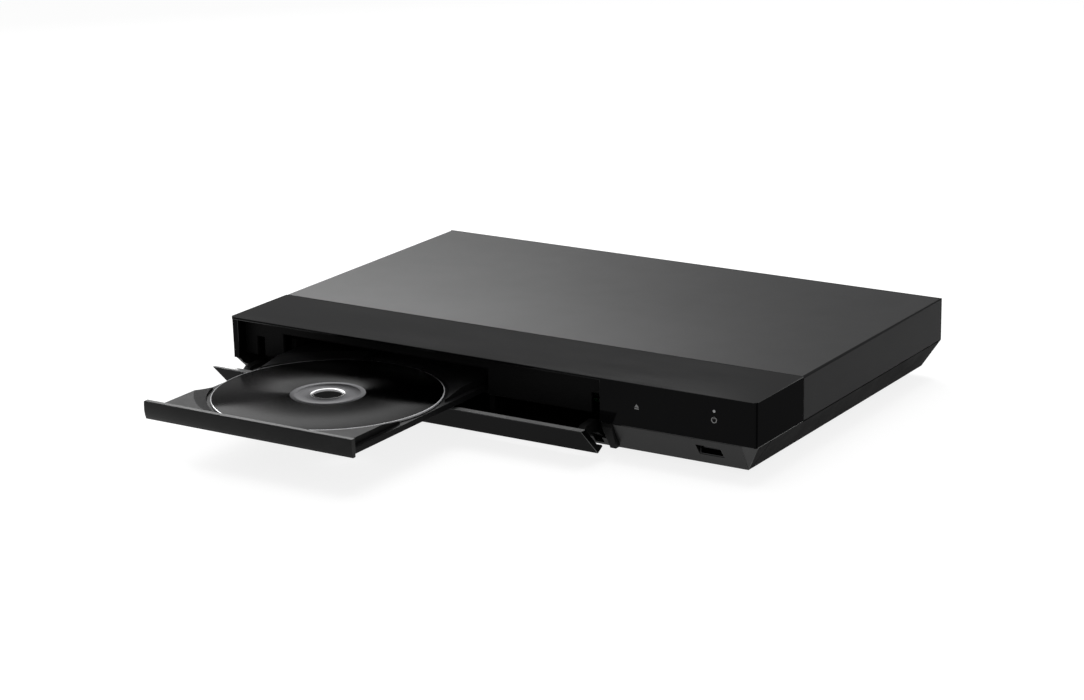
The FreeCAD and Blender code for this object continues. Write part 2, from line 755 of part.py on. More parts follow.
def loader_frame():
    wall = size("frame_half")
    front = size("frame_front")
    rear = size("frame_rear")
    floor = size("frame_floor")
    floor_high = floor + 1.5
    high = size("frame_high")
    deck = box("frame_deck", (centre - wall, centre + wall), (front, rear), (floor, floor_high))
    window = box("frame_window", (centre - 43, centre + 43), (40, rear - 3), (floor - 1, floor_high + 1))
    pieces = [cut("frame_deck_open", deck, [window])]
    for side, out in (("left", -1), ("right", 1)):
        near = centre + out * size("tray_half") + out * 0.5
        far = centre + out * wall
        low_x, high_x = (far, near) if out < 0 else (near, far)
        pieces.append(box("frame_wall_" + side, (low_x, high_x), (front, rear), (floor, high)))
        inner = centre + out * 59.2
        low_x, high_x = (far, inner) if out < 0 else (inner, far)
        ledge = size("ledge_level")
        pieces.append(box("frame_ledge_" + side, (low_x, high_x), (front, rear - 3), (ledge - 2, ledge)))
        inner = centre + out * 60.9
        low_x, high_x = (far, inner) if out < 0 else (inner, far)
        for i, y in enumerate((15, 60, 120)):
            pieces.append(box("frame_hook_%s_%d" % (side, i), (low_x, high_x), (y, y + 14), (26.5, 28.5)))
    pieces.append(box("frame_back", (centre - wall, centre + wall), (rear - 3, rear), (floor, high)))
    for i, (offset, y) in enumerate(DRIVE_POSTS):
        spot = centre + offset
        reach = (wall - 1) * (-1 if offset < 0 else 1) + centre
        low_x, high_x = (spot - 4, reach) if offset < 0 else (reach, spot + 4)
        lug = box("frame_lug_%d" % i, (low_x, high_x), (y - 5, y + 5), (13, 15))
        hole = peg("frame_lug_hole_%d" % i, "z", (spot, y), 1.9, (12, 16), 6)
        pieces.append(cut("frame_lug_bored_%d" % i, lug, [hole]))
    back = size("swing_back")
    level = size("swing_level")
    for side, low in (("left", centre - 45.5), ("right", centre + 42.5)):
        ear = box("swing_ear_" + side, (low, low + 3), (back - 5, rear - 2), (floor, level + 5))
        hole = rod("swing_ear_hole_" + side, "x", (back, level), pin + fit, (low - 1, low + 4))
        pieces.append(cut("swing_ear_bored_" + side, ear, [hole]))
        pieces.append(box("swing_ear_rail_" + side, (low, low + 3), (49, back - 4.5), (floor, floor_high + 2)))
    gear_y = size("gear_back")
    for name, x, shoulder, low, post, high_z in (
        ("drive", centre + WHEEL_OFFSET, 3.5, 15.1, 1.5, 24.0),
        ("pulley", centre + PINION_OFFSET, 3.0, 14.9, 1.2, 21.8),
    ):
        pieces.append(peg("gear_shoulder_" + name, "z", (x, gear_y), shoulder, (floor_high - 0.3, low), 10))
        pieces.append(peg("gear_post_" + name, "z", (x, gear_y), post, (floor_high, high_z), 16))
    cam = size("cam_back")
    pieces.append(box("cam_deck", (centre - 43, centre + 43), (39, cam - 0.5), (floor, floor_high)))
    pieces.append(box("cam_wall", (centre - 50, centre + 50), (cam - 2.4, cam - 0.9), (floor, 21)))
    for name, offset in (("left", -36), ("right", 34)):
        pieces.append(peg("cam_stud_" + name, "y", (centre + offset, CAM_SLOT_Z), 1.5, (cam - 1.2, cam + 3.4), 10))
    keep("loader_frame", fuse("frame_whole", pieces))


CAM_SLOT_Z = 18.4
WHEEL_OFFSET = size("rack_offset") - size("rack_module") * size("rack_wheel_teeth") / 2
PINION_OFFSET = WHEEL_OFFSET - size("step_module") * (size("step_wheel_teeth") + size("pinion_teeth")) / 2


def loader_screws():
    screws = []
    for i, (offset, y) in enumerate(DRIVE_POSTS):
        head = peg("loader_screw_head_%d" % i, "z", (centre + offset, y), 3.2, (15, 16.8), 8)
        shank = peg("loader_screw_shank_%d" % i, "z", (centre + offset, y), 1.6, (13, 15.5), 6)
        screws.append(fuse("loader_screw_%d" % i, [head, shank]))
    keep("loader_screws", group("loader_screw_set", screws))


def clamp_bridge():
    high = size("frame_high")
    plate = box("bridge_plate", (centre - size("frame_half"), centre + size("frame_half")), (spindle_y - 13, spindle_y + 13), (high, high + 1.2))
    flange_front = box("bridge_flange_front", (centre - 56, centre + 56), (spindle_y - 13, spindle_y - 12), (high + 1, high + 4))
    flange_rear = box("bridge_flange_rear", (centre - 56, centre + 56), (spindle_y + 12, spindle_y + 13), (high + 1, high + 4))
    hole = peg("bridge_hole", "z", (centre, spindle_y), 9.3, (high - 1, high + 5), 28)
    keep("clamp_bridge", cut("bridge_whole", fuse("bridge_bent", [plate, flange_front, flange_rear]), [hole]))


def clamper():
    low = size("disc_level") + size("disc_thick") + 0.3
    spot = (centre, spindle_y)
    blank = stacked("clamper_rings", spot, [(14, low, low + 2.6), (8.6, low + 2, 34.9), (11.5, 34.5, 35.6)], 24)
    well = rod("clamper_well", "z", spot, size("hub_radius") + 0.8, (low - 1, low + 2.2))
    keep("clamper", cut("clamper_whole", blank, [well]))


def involute_wheel(teeth, module, backlash, start, steps):
    """Corner points of a spur wheel, each flank with its points on the involute."""
    pitch_r = module * teeth / 2
    base_r = pitch_r * math.cos(math.radians(20))
    outer_r = pitch_r + module
    root_r = pitch_r - 1.25 * module
    pressure = math.radians(20)
    half_tooth = math.pi / (2 * teeth) - backlash / (2 * pitch_r)
    centre_shift = half_tooth + math.tan(pressure) - pressure

    def flank(radius):
        if radius <= base_r:
            return centre_shift
        roll = math.acos(base_r / radius)
        return centre_shift - (math.tan(roll) - roll)

    radii = {2: [root_r, outer_r], 3: [root_r, pitch_r, outer_r]}[steps]
    points = []
    for k in range(int(teeth)):
        middle = start + 2 * math.pi * k / teeth
        for radius in radii:
            angle = middle - flank(radius)
            points.append((radius * math.cos(angle), radius * math.sin(angle)))
        for radius in reversed(radii):
            angle = middle + flank(radius)
            points.append((radius * math.cos(angle), radius * math.sin(angle)))
    return points


def shifted(points, x, y):
    return [(x + u, y + v) for u, v in points]


def drive_gear():
    body = make_body("drive_wheel")
    x = (centre + WHEEL_OFFSET).value
    y = SIZES["gear_back"]
    rack_teeth = SIZES["rack_wheel_teeth"]
    # The rack has a tooth at the wheel's own Y, so the wheel has a gap facing it on the +X side.
    upper = involute_wheel(rack_teeth, SIZES["rack_module"], 0.16, math.pi / rack_teeth, 3)
    step_teeth = SIZES["step_wheel_teeth"]
    lower = involute_wheel(step_teeth, SIZES["step_module"], 0.1, math.pi, 2)
    pad(body, "rack_wheel", "XY", 22.4, shifted(upper, x, y), 1.8, held=False)
    wheel = make_body("step_wheel_body")
    pad(wheel, "step_wheel", "XY", 15.2, shifted(lower, x, y), 3.0, held=False)
    hub = peg("wheel_hub", "z", (x, y), 4.4, (18.0, 22.6), 16)
    hole = rod("wheel_bore", "z", (x, y), pin + fit, (14, 26))
    keep("drive_gear", cut("drive_gear_whole", fuse("drive_gear_blank", [body, hub, wheel]), [hole]))


def pulley_gear():
    body = make_body("pulley_wheel")
    x = (centre + PINION_OFFSET).value
    y = SIZES["gear_back"]
    teeth = SIZES["pinion_teeth"]
    pinion = involute_wheel(teeth, SIZES["step_module"], 0.1, math.pi / teeth, 2)
    pad(body, "pinion", "XY", 15.0, shifted(pinion, x, y), 3.8, held=False)
    rim = size("pulley_radius")
    turned = stacked("pulley_rings", (x, y), [(rim, 18.6, 19.5), (rim - 0.87, 19.5, 21.1), (rim, 21.1, 22.0)], 28)
    hole = rod("pulley_bore", "z", (x, y), 1.3, (14, 23))
    keep("pulley_gear", cut("pulley_gear_whole", fuse("pulley_gear_blank", [body, turned]), [hole]))


def motor_pulley():
    rim = size("motor_pulley_radius")
    spot = (centre + size("motor_offset"), size("gear_back"))
    blank = stacked("motor_pulley_rings", spot, [(rim + 0.8, 18.8, 19.6), (rim + 0.1, 19.6, 21.0), (rim + 0.8, 21.0, 21.8)], 16)
    hole = rod("motor_pulley_bore", "z", spot, 1.05, (18, 22.5))
    keep("motor_pulley", cut("motor_pulley_whole", blank, [hole]))


def loading_motor():
    x = centre + size("motor_offset")
    y = size("gear_back")
    low = size("frame_floor") + 1.5
    can = peg("motor_can", "z", (x, y), 11, (low, 18), 32)
    flat = box("motor_flats", (x - 9.5, x + 9.5), (y - 12, y + 12), (low - 1, 19))
    shaft = peg("motor_shaft", "z", (x, y), 1.0, (17, 22), 12)
    neck = peg("motor_neck", "z", (x, y), 3, (17.5, 18.5))
    keep("loading_motor", fuse("motor_whole", [common("motor_body", can, flat), shaft, neck]))


def drive_belt():
    """A square rubber belt that runs round both pulleys in their grooves."""
    x0 = (centre + size("motor_offset")).value
    x1 = (centre + PINION_OFFSET).value
    y = SIZES["gear_back"]
    small = SIZES["motor_pulley_radius"] + 0.15
    large = SIZES["pulley_radius"] - 0.84
    section = 1.1

    def loop(grow):
        """Corner points of a loop: two arcs in short steps, joined by the straight runs between them."""
        r0 = small + grow
        r1 = large + grow
        lean = math.asin((r1 - r0) / (x1 - x0))
        points = []
        for middle, radius, first, last, steps in (
            (x1, r1, -math.pi / 2 - lean, math.pi / 2 + lean, 22),
            (x0, r0, math.pi / 2 + lean, 3 * math.pi / 2 - lean, 9),
        ):
            for i in range(steps + 1):
                angle = first + (last - first) * i / steps
                points.append((middle + radius * math.cos(angle), y + radius * math.sin(angle)))
        return points

    body = make_body("belt_body")
    pad(body, "belt_outside", "XY", 19.8, loop(section), 1.0, held=False)
    pocket(body, "belt_inside", "XY", 19.0, loop(0.06), 3.0, held=False)
    keep("drive_belt", body)


# The traverse is drawn level, as when it plays, and turned down about its rear pins

SWUNG = turned_about_x(size("swing_back"), size("swing_level"), size("swing_angle"))
PLATE_LOW = 15.5
PLATE_HIGH = 17.8
ROD_Z = 20.6
ROD_X = (-26.0, 22.0)
SCREW_X = 31.0


def cam_slider():
    cam = size("cam_back")
    body = make_body("cam_plate")
    low_x = centre - 54
    high_x = centre + 38
    pad(body, "cam_plate_face", "XZ", cam, [(centre - 18, 7.4), (centre + 8, 7.4), (centre + 8, 10.9), (high_x, 10.9),
                                            (high_x, 20.6), (low_x, 20.6), (low_x, 10.9), (centre - 18, 10.9)], 3)
    drop = (158.0 - 45.5) * math.sin(math.radians(SIZES["swing_angle"]))
    z_down = SIZES["swing_level"] - drop
    z_up = SIZES["swing_level"]
    travel = SIZES["cam_travel"]
    x0 = SIZES["drive_centre"]
    gap = SIZES["pin_radius"] + 0.4
    slope = (z_up - z_down) / travel
    rise = gap * math.sqrt(1 + slope * slope)
    ramp = [(x0 + gap, z_down - gap), (x0 + gap, z_down + rise - slope * gap), (x0 - travel, z_up + rise), (x0 - travel - gap, z_up + rise),
            (x0 - travel - gap, z_up - rise + 0.2), (x0 - travel, z_up - rise), (x0 - gap, z_down - gap)]
    pocket(body, "cam_ramp", "XZ", cam - 1, ramp, 6, held=False)
    for name, offset in (("left", -36), ("right", 34)):
        # A stud stands still while its slot travels with the plate.
        right = min(offset + 2.0, 36.0)
        left = offset - SIZES["cam_travel"] - 2.0
        pocket(body, "cam_slot_" + name, "XZ", cam - 1, rectangle((centre + left, centre + right), (CAM_SLOT_Z - 1.8, CAM_SLOT_Z + 1.8)), 6)
    keep("cam_slider", body)


def traverse_frame():
    front = 50.0
    back = size("swing_back")
    level = size("swing_level")
    deck = box("traverse_deck", (centre - 40, centre + 40), (front, 156), (PLATE_LOW, PLATE_HIGH))
    window = box("traverse_window", (centre - 33, centre + 35), (85, 151), (PLATE_LOW - 1, PLATE_HIGH + 1))
    sled_gap = box("traverse_sled_gap", (centre + SCREW_X - 4.2, centre + SCREW_X + 4.2), (59.5, 76), (PLATE_LOW - 1, PLATE_HIGH + 1))
    pieces = [cut("traverse_deck_open", deck, [window, sled_gap])]
    mount = box("sled_mount", (centre + SCREW_X - 4.2, centre + SCREW_X + 4.2), (76, 77), (PLATE_LOW, ROD_Z + 3.2))
    mount_hole = peg("sled_mount_hole", "y", (centre + SCREW_X, ROD_Z), 2.35, (75, 78), 12)
    pieces.append(cut("sled_mount_bored", mount, [mount_hole]))
    for side, low, high in (("left", centre - 42, centre - 34), ("right", centre + 34, centre + 42)):
        pieces.append(box("traverse_rear_arm_" + side, (low, high), (150, back + 3), (PLATE_LOW, level + 2.4)))
    pieces.append(rod("traverse_pivot_left", "x", (back, level), pin, (centre - 46, centre - 38)))
    pieces.append(peg("traverse_pivot_right", "x", (back, level), pin, (centre + 38, centre + 46), 16))
    pieces.append(peg("traverse_cam_pin", "y", (centre, level), pin, (cam_pin_front, front + 4), 16))
    pieces.append(box("traverse_nose", (centre - 8, centre + 8), (front, front + 5), (PLATE_LOW, level + 2.5)))
    for i, x in enumerate(ROD_X):
        for name, y0, y1 in (("front", 80, 85), ("rear", 151, 156)):
            post = box("rod_post_%d_%s" % (i, name), (centre + x - 3, centre + x + 3), (y0, y1), (PLATE_LOW, ROD_Z + 2.4))
            hole = peg("rod_post_hole_%d_%s" % (i, name), "y", (centre + x, ROD_Z), pin + 0.06, (y0 - 1, y1 + 1))
            pieces.append(cut("rod_post_bored_%d_%s" % (i, name), post, [hole]))
    seat = box("screw_seat", (centre + SCREW_X - 3.5, centre + SCREW_X + 3.5), (152, 156), (PLATE_LOW, ROD_Z + 3))
    seat_hole = peg("screw_seat_hole", "y", (centre + SCREW_X, ROD_Z), pin + fit + 0.05, (151, 157), 16)
    pieces.append(cut("screw_seat_bored", seat, [seat_hole]))
    keep("traverse_frame", fuse("traverse_whole", pieces), SWUNG)


cam_pin_front = size("cam_back") + 0.2


def guide_rods():
    rods = [peg("guide_rod_%d" % i, "y", (centre + x, ROD_Z), pin, (80, 156)) for i, x in enumerate(ROD_X)]
    keep("guide_rods", group("guide_rod_set", rods), SWUNG)


def spindle_motor():
    x, y = centre, spindle_y
    pieces = [
        peg("spindle_can", "z", (x, y), 12.4, (PLATE_HIGH, 24.0), 32),
        peg("spindle_shaft", "z", (x, y), 1.2, (23.5, 28.0)),
    ]
    keep("spindle_motor", fuse("spindle_whole", pieces), SWUNG)


def turntable():
    level = size("table_level")
    hub = size("hub_radius")
    rim = size("table_radius")
    spot = (centre, spindle_y)
    blank = stacked("turntable_rings", spot, [(rim, level - 1.8, level), (hub, level - 0.5, level + 1.6), (hub - 1.2, level + 1.6, level + 2.4)], 32)
    hole = rod("turntable_bore", "z", spot, 1.3, (level - 3, level + 4))
    keep("turntable", cut("turntable_whole", blank, [hole]), SWUNG)


def sled_motor():
    pieces = [
        peg("sled_can", "y", (centre + SCREW_X, ROD_Z), 3.6, (60, 76), 20),
        peg("sled_neck", "y", (centre + SCREW_X, ROD_Z), 2.2, (75.5, 77)),
    ]
    keep("sled_motor", fuse("sled_whole", pieces), SWUNG)


def lead_screw():
    spot = (centre + SCREW_X, ROD_Z)
    thread = rod("lead_screw_thread", "y", spot, 2.0, (77.3, 149.5))
    tail = peg("lead_screw_tail", "y", spot, pin, (149, 155.5), 16)
    keep("lead_screw", fuse("lead_screw_whole", [thread, tail]), SWUNG)


def optical_pickup():
    front = 85.6
    rear = 111.6
    block = box("pickup_block", (centre - 20, centre + 17), (front, rear), (16.4, 23.6))
    left = box("pickup_bush_block", (centre - 30, centre - 19), (front + 2, rear - 2), (17.4, 23.8))
    right = box("pickup_fork_block", (centre + 16, centre + 26), (front + 4, rear - 4), (17.8, 23.4))
    nut = box("pickup_nut_block", (centre + 25, centre + SCREW_X + 2.6), (front + 8, rear - 8), (17.9, 23.6))
    seat = peg("lens_seat", "z", (centre, 95), 6.5, (22, 24.2), 24)
    tools = [
        peg("pickup_bush", "y", (centre + ROD_X[0], ROD_Z), pin + fit + 0.05, (front - 1, rear + 1)),
        box("pickup_fork", (centre + ROD_X[1] - 1.6, centre + ROD_X[1] + 1.6), (front - 1, rear + 1), (ROD_Z - 1.6, ROD_Z + 1.6)),
        peg("pickup_nut", "y", (centre + SCREW_X, ROD_Z), 2.0 + 0.15, (front - 1, rear + 1), 16),
        peg("lens_hole", "z", (centre, 95), 4.0, (20, 26), 20),
    ]
    keep("optical_pickup", cut("pickup_whole", fuse("pickup_blank", [block, left, right, nut, seat]), tools), SWUNG)


def objective_lens():
    keep("objective_lens", stacked("lens_rings", (centre, 95), [(4.0, 20.0, 24.3), (2.6, 24.0, 24.9), (1.3, 24.8, 25.2)], 20), SWUNG)


# Electronics


def bored_board(node, x, y, posts):
    plate = box(node + "_plate", x, y, (board, board_top))
    holes = [peg("%s_hole_%d" % (node, i), "z", spot, 1.8, (board - 1, board_top + 1), 6) for i, spot in enumerate(posts)]
    keep(node, cut(node + "_whole", plate, holes))


def board_screws():
    screws = []
    for i, spot in enumerate(BOARD_POSTS):
        head = peg("board_screw_head_%d" % i, "z", spot, 2.8, (board_top, board_top + 1.5), 8)
        shank = peg("board_screw_shank_%d" % i, "z", spot, 1.5, (board, board_top + 0.5), 6)
        screws.append(fuse("board_screw_%d" % i, [head, shank]))
    keep("board_screws", group("board_screw_set", screws))


def heat_sink():
    body = make_body("heat_sink_block")
    pad(body, "heat_sink_base", "XY", board_top + 2, rectangle((66, 102), (108, 144)), 2.5)
    fin = pad(body, "heat_sink_fin", "XY", board_top + 4, rectangle((66, 67.2), (108, 144)), 12)
    row = body.newObject("PartDesign::LinearPattern", "heat_sink_fins")
    row.Originals = [fin]
    row.Direction = (fin.Profile[0], ["H_Axis"])
    row.Length = 34.8
    row.Occurrences = 9
    body.Tip = row
    keep("heat_sink", body)


def main_processor():
    keep("main_processor", box("processor_chip", (70, 98), (112, 140), (board_top, board_top + 2)))


def transformer():
    level = board_top
    core = box("transformer_core", (-112, -84), (182, 202), (level, level + 20))
    gap = box("transformer_gap", (-106, -90), (181, 203), (level + 5, level + 15))
    bobbin = peg("transformer_bobbin", "x", (192, level + 10), 7.5, (-105.5, -90.5), 20)
    keep("power_transformer", fuse("transformer_whole", [cut("transformer_frame", core, [gap]), common("transformer_coil", bobbin, box("coil_zone", (-106, -90), (182, 202), (level + 2, level + 18)))]))


def power_capacitor():
    keep("power_capacitor", peg("capacitor_can", "z", (-66, 192), 8, (board_top, board_top + 22), 24))


def ac_inlet():
    x = INLET_X
    z = 18.0
    block = box("inlet_block", (x - 11, x + 11), (196, depth), (board_top, 24.4))
    cavity_a = peg("inlet_cavity_left", "y", (x - 4.3, z), 4.4, (202, depth + 1), 20)
    cavity_b = peg("inlet_cavity_right", "y", (x + 4.3, z), 4.4, (202, depth + 1), 20)
    waist = box("inlet_cavity_waist", (x - 4.3, x + 4.3), (202, depth + 1), (z - 3.6, z + 3.6))
    keep("ac_inlet", cut("inlet_whole", block, [cavity_a, cavity_b, waist]))
    pins = [peg("inlet_pin_%s" % side, "y", (x + offset, z), 1.15, (202, depth - 3)) for side, offset in (("left", -4.3), ("right", 4.3))]
    keep("ac_inlet_pins", group("inlet_pin_set", pins))


def hdmi_sockets():
    sockets = []
    for i, x in enumerate(HDMI_X):
        low = board_top + 0.5
        shell = box("hdmi_shell_%d" % i, (x - 7.5, x + 7.5), (203, depth + 0.3), (low, low + 5.6))
        foot = box("hdmi_foot_%d" % i, (x - 7, x + 7), (203, 207.5), (board_top, low + 0.2))
        cavity = box("hdmi_cavity_%d" % i, (x - 7, x + 7), (205, depth + 1), (low + 0.5, low + 5.1))
        tongue = box("hdmi_tongue_%d" % i, (x - 5.5, x + 5.5), (204, depth - 2), (low + 2.4, low + 3.2))
        sockets.append(fuse("hdmi_socket_%d" % i, [cut("hdmi_open_%d" % i, shell, [cavity]), foot, tongue]))
    keep("hdmi_sockets", group("hdmi_set", sockets))


def lan_jack():
    x = LAN_X
    low = board_top
    shell = box("lan_shell", (x - 8, x + 8), (196, depth + 0.3), (low, low + 13.6))
    cavity = box("lan_cavity", (x - 5.85, x + 5.85), (201, depth + 1), (low + 3, low + 10.5))
    latch = box("lan_latch", (x - 3, x + 3), (201, depth + 1), (low + 1.4, low + 3.5))
    keep("lan_jack", cut("lan_whole", shell, [cavity, latch]))


def coax_jack():
    x = COAX_X
    block = box("coax_block", (x - 5.5, x + 5.5), (202, depth - 1.4), (board_top, 23))
    barrel = peg("coax_barrel", "y", (x, COAX_Z), 4.15, (depth - 3, size("rear_reach")), 24)
    hole = peg("coax_hole_inner", "y", (x, COAX_Z), 1.7, (204, 220))
    keep("coax_jack", cut("coax_whole", fuse("coax_blank", [block, barrel]), [hole]))


def usb_socket():
    x = size("usb_centre")
    z = size("usb_level")
    shell = box("usb_shell", (x - 6.6, x + 6.6), (8.4, 22.4), (z - 2.85, z + 2.85))
    cavity = box("usb_cavity", (x - 6.2, x + 6.2), (8, 21), (z - 2.45, z + 2.45))
    tongue = box("usb_tongue", (x - 5.4, x + 5.4), (9.6, 21.5), (z + 0.2, z + 2.1))
    keep("usb_socket", fuse("usb_whole", [cut("usb_open", shell, [cavity]), tongue]))


def usb_board():
    x = size("usb_centre")
    low = size("usb_level") - 2.85 - 1.2
    board_plate = box("usb_board_plate", (x - 12, x + 12), (18.2, 40), (low, low + 1.2))
    posts = [peg("usb_post_%s" % side, "z", (x + offset, 35), 2.2, (floor_top, low), 8) for side, offset in (("left", -8), ("right", 8))]
    keep("usb_board", board_plate)
    keep("usb_board_posts", group("usb_post_set", posts))


def front_board():
    keep("front_board", box("front_board_plate", (80, 155), (4, 5.4), (24.5, 42)))


def power_light_guide():
    keep("power_light_guide", peg("light_guide", "y", (size("eye_x"), size("eye_level")), 0.74, (0, 4), 16))


def ribbon_outline(path, thick):
    """The side view of a thin strip that follows a path of straight runs."""
    normals = []
    for (u0, v0), (u1, v1) in zip(path, path[1:]):
        run = math.hypot(u1 - u0, v1 - v0)
        normals.append((-(v1 - v0) / run, (u1 - u0) / run))
    sides = [[], []]
    for i, (u, v) in enumerate(path):
        before = normals[max(i - 1, 0)]
        after = normals[min(i, len(normals) - 1)]
        mean = (before[0] + after[0], before[1] + after[1])
        scale = thick / (mean[0] * after[0] + mean[1] * after[1])
        sides[0].append((u, v))
        sides[1].append((u + mean[0] * scale, v + mean[1] * scale))
    return sides[0] + sides[1][::-1]


def drive_ribbon():
    body = make_body("drive_ribbon_strip")
    path = [(21, 10.9), (13, 10.9), (6, 7.6), (-52, 7.6)]
    pad(body, "drive_ribbon_side", "XZ", 130, ribbon_outline(path[::-1], 0.25), 14, held=False)
    seat = box("drive_ribbon_seat", (18, 22), (129, 145), (board_top, board_top + 2.2))
    notch = box("drive_ribbon_notch", (17, 21.1), (129.9, 144.1), (board_top + 0.2, board_top + 0.7))
    keep("drive_ribbon", fuse("drive_ribbon_whole", [body, cut("drive_ribbon_socket", seat, [notch])]))


def front_ribbon():
    body = make_body("front_ribbon_strip")
    path = [(5.4, 30), (7, 30), (7, 24), (14, 18), (20, 12.6), (61, 12.6), (64, 10.9), (70, 10.9)]
    pad(body, "front_ribbon_side", "YZ", 96, ribbon_outline(path, 0.25), 12, held=False)
    seat = box("front_ribbon_seat", (95, 109), (67, 71), (board_top, board_top + 2.2))
    notch = box("front_ribbon_notch", (95.9, 108.1), (66, 70.1), (board_top + 0.2, board_top + 0.8))
    keep("front_ribbon", fuse("front_ribbon_whole", [body, cut("front_ribbon_socket", seat, [notch])]))


for make in (front_fascia, inner_panel, bottom_chassis, lower_front_strip, top_cover, rear_panel, cover_screws, feet, flap):
    make()
flap_arm("left", -148.2)
flap_arm("right", 62.5)
for make in (flap_pins, disc_tray, tray_front_bar, disc, loader_frame, loader_screws, clamp_bridge, clamper, drive_gear, pulley_gear,
             motor_pulley, loading_motor, drive_belt, cam_slider, traverse_frame, guide_rods, spindle_motor, turntable, sled_motor,
             lead_screw, optical_pickup, objective_lens):
    make()
bored_board("main_board", (14, 148), (62, 208), [p for p in BOARD_POSTS if p[0] > 0])
bored_board("power_board", (-148, -10), (170, 209), [p for p in BOARD_POSTS if p[0] < 0])
for make in (board_screws, main_processor, heat_sink, transformer, power_capacitor, ac_inlet, hdmi_sockets, lan_jack, coax_jack,
             usb_socket, usb_board, front_board, power_light_guide, drive_ribbon, front_ribbon):
    make()

doc.recompute()

for owner in doc.Objects:
    if "Invalid" in owner.State or "Error" in owner.State:
        raise RuntimeError("%s did not build: %s" % (owner.Name, owner.State))
for node, owner in NODES.items():
    shape = owner.Shape
    if shape.isNull() or not shape.isValid():
        raise RuntimeError("%s has no valid shape" % node)
    shape.exportStep("parts/%s.step" % node)
    box_size = shape.BoundBox
    print("%-20s solids %d volume %9.1f  x %7.2f %7.2f  y %7.2f %7.2f  z %6.2f %6.2f" % (
        node, len(shape.Solids), shape.Volume, box_size.XMin, box_size.XMax, box_size.YMin, box_size.YMax, box_size.ZMin, box_size.ZMax))
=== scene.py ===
import bmesh
import bpy
import json
import math
from bpy.props import FloatProperty, FloatVectorProperty, IntProperty, PointerProperty
from mathutils import Matrix, Vector

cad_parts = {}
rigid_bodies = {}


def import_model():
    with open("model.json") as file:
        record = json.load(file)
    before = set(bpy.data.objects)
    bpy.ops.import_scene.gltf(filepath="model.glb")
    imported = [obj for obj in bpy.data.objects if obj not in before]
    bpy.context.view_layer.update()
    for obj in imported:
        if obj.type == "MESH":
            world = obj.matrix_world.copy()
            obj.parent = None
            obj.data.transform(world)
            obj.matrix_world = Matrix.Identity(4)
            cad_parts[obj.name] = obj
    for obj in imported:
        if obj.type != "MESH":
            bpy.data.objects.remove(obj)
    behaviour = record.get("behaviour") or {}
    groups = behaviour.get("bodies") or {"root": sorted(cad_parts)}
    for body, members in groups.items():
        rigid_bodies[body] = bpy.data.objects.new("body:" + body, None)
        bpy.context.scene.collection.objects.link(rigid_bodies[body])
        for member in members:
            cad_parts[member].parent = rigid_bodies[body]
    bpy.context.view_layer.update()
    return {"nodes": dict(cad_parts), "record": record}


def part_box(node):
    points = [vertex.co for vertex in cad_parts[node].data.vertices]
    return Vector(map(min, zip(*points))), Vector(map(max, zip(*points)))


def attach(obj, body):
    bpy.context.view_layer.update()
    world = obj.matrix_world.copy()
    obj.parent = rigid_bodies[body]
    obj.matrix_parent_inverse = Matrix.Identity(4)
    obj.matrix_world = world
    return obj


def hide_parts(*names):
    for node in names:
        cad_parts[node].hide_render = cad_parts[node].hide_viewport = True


bl_info = {
    "name": "Disc player",
    "version": (1, 0, 0),
    "blender": (4, 5, 0),
    "location": "3D View > Sidebar > Disc player",
    "description": "Dresses a disc player that stands with its tray out and its flap down",
    "category": "Object",
}

for leftover in list(bpy.data.objects):
    bpy.data.objects.remove(leftover, do_unlink=True)
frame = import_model()
MM = 0.001


# Sizes and colours that a user would change


def length_setting(name, description, default):
    return FloatProperty(
        name=name, description=description, default=default, subtype="DISTANCE", unit="LENGTH",
    )


def angle_setting(name, description, degrees):
    return FloatProperty(name=name, description=description, default=math.radians(degrees), subtype="ANGLE")


def power_setting(name, description, watts):
    return FloatProperty(name=name, description=description, default=watts, min=0.0, unit="POWER")


def level_setting(name, description, default, **limits):
    return FloatProperty(name=name, description=description, default=default, **limits)


def colour_setting(name, description, default):
    return FloatVectorProperty(
        name=name, description=description, default=default, subtype="COLOR", min=0.0, max=1.0,
    )


class StageSettings(bpy.types.PropertyGroup):
    camera_spot: FloatVectorProperty(
        name="Camera place",
        description="Where the camera stands, with the player's middle as the origin",
        default=(0.77448, -1.22129, 0.46532),
        subtype="TRANSLATION",
        unit="LENGTH",
    )
    azimuth: angle_setting("Azimuth", "Turn of the view to the left of straight ahead", 32.24)
    elevation: angle_setting("Elevation", "How far the camera looks down", 16.58)
    roll: angle_setting("Roll", "Turn of the picture about the line of sight", -1.0)
    lens: level_setting("Lens", "Focal length in millimetres on a sensor 36 mm wide", 95.09, min=20.0)
    room_light: level_setting("Room light", "Brightness of the grey room round the floor", 0.42, min=0.0)
    key_power: power_setting(
        "Rear softbox", "Power of the softbox close behind the player's left corner", 15.2,
    )
    top_power: power_setting("Overhead softbox", "Power of the softbox above the player", 12.0)
    front_power: power_setting("Front fill", "Power of the weak fill at the camera's side", 2.5)
    floor_tone: level_setting(
        "Floor tone", "Reflectance of the pale floor", 0.8, min=0.0, max=1.0, subtype="FACTOR",
    )


class HousingSettings(bpy.types.PropertyGroup):
    edge_round: length_setting(
        "Edge rounding", "Radius on the moulded and folded edges of the housing", 0.25 * MM,
    )
    gloss_colour: colour_setting(
        "Gloss plastic", "Colour of the polished black front", (0.0022, 0.0022, 0.0024),
    )
    steel_colour: colour_setting(
        "Cover paint", "Colour of the textured paint on the steel cover", (0.013, 0.013, 0.0135),
    )
    satin_colour: colour_setting("Satin plastic", "Colour of the satin lower front", (0.0125, 0.0125, 0.0125))


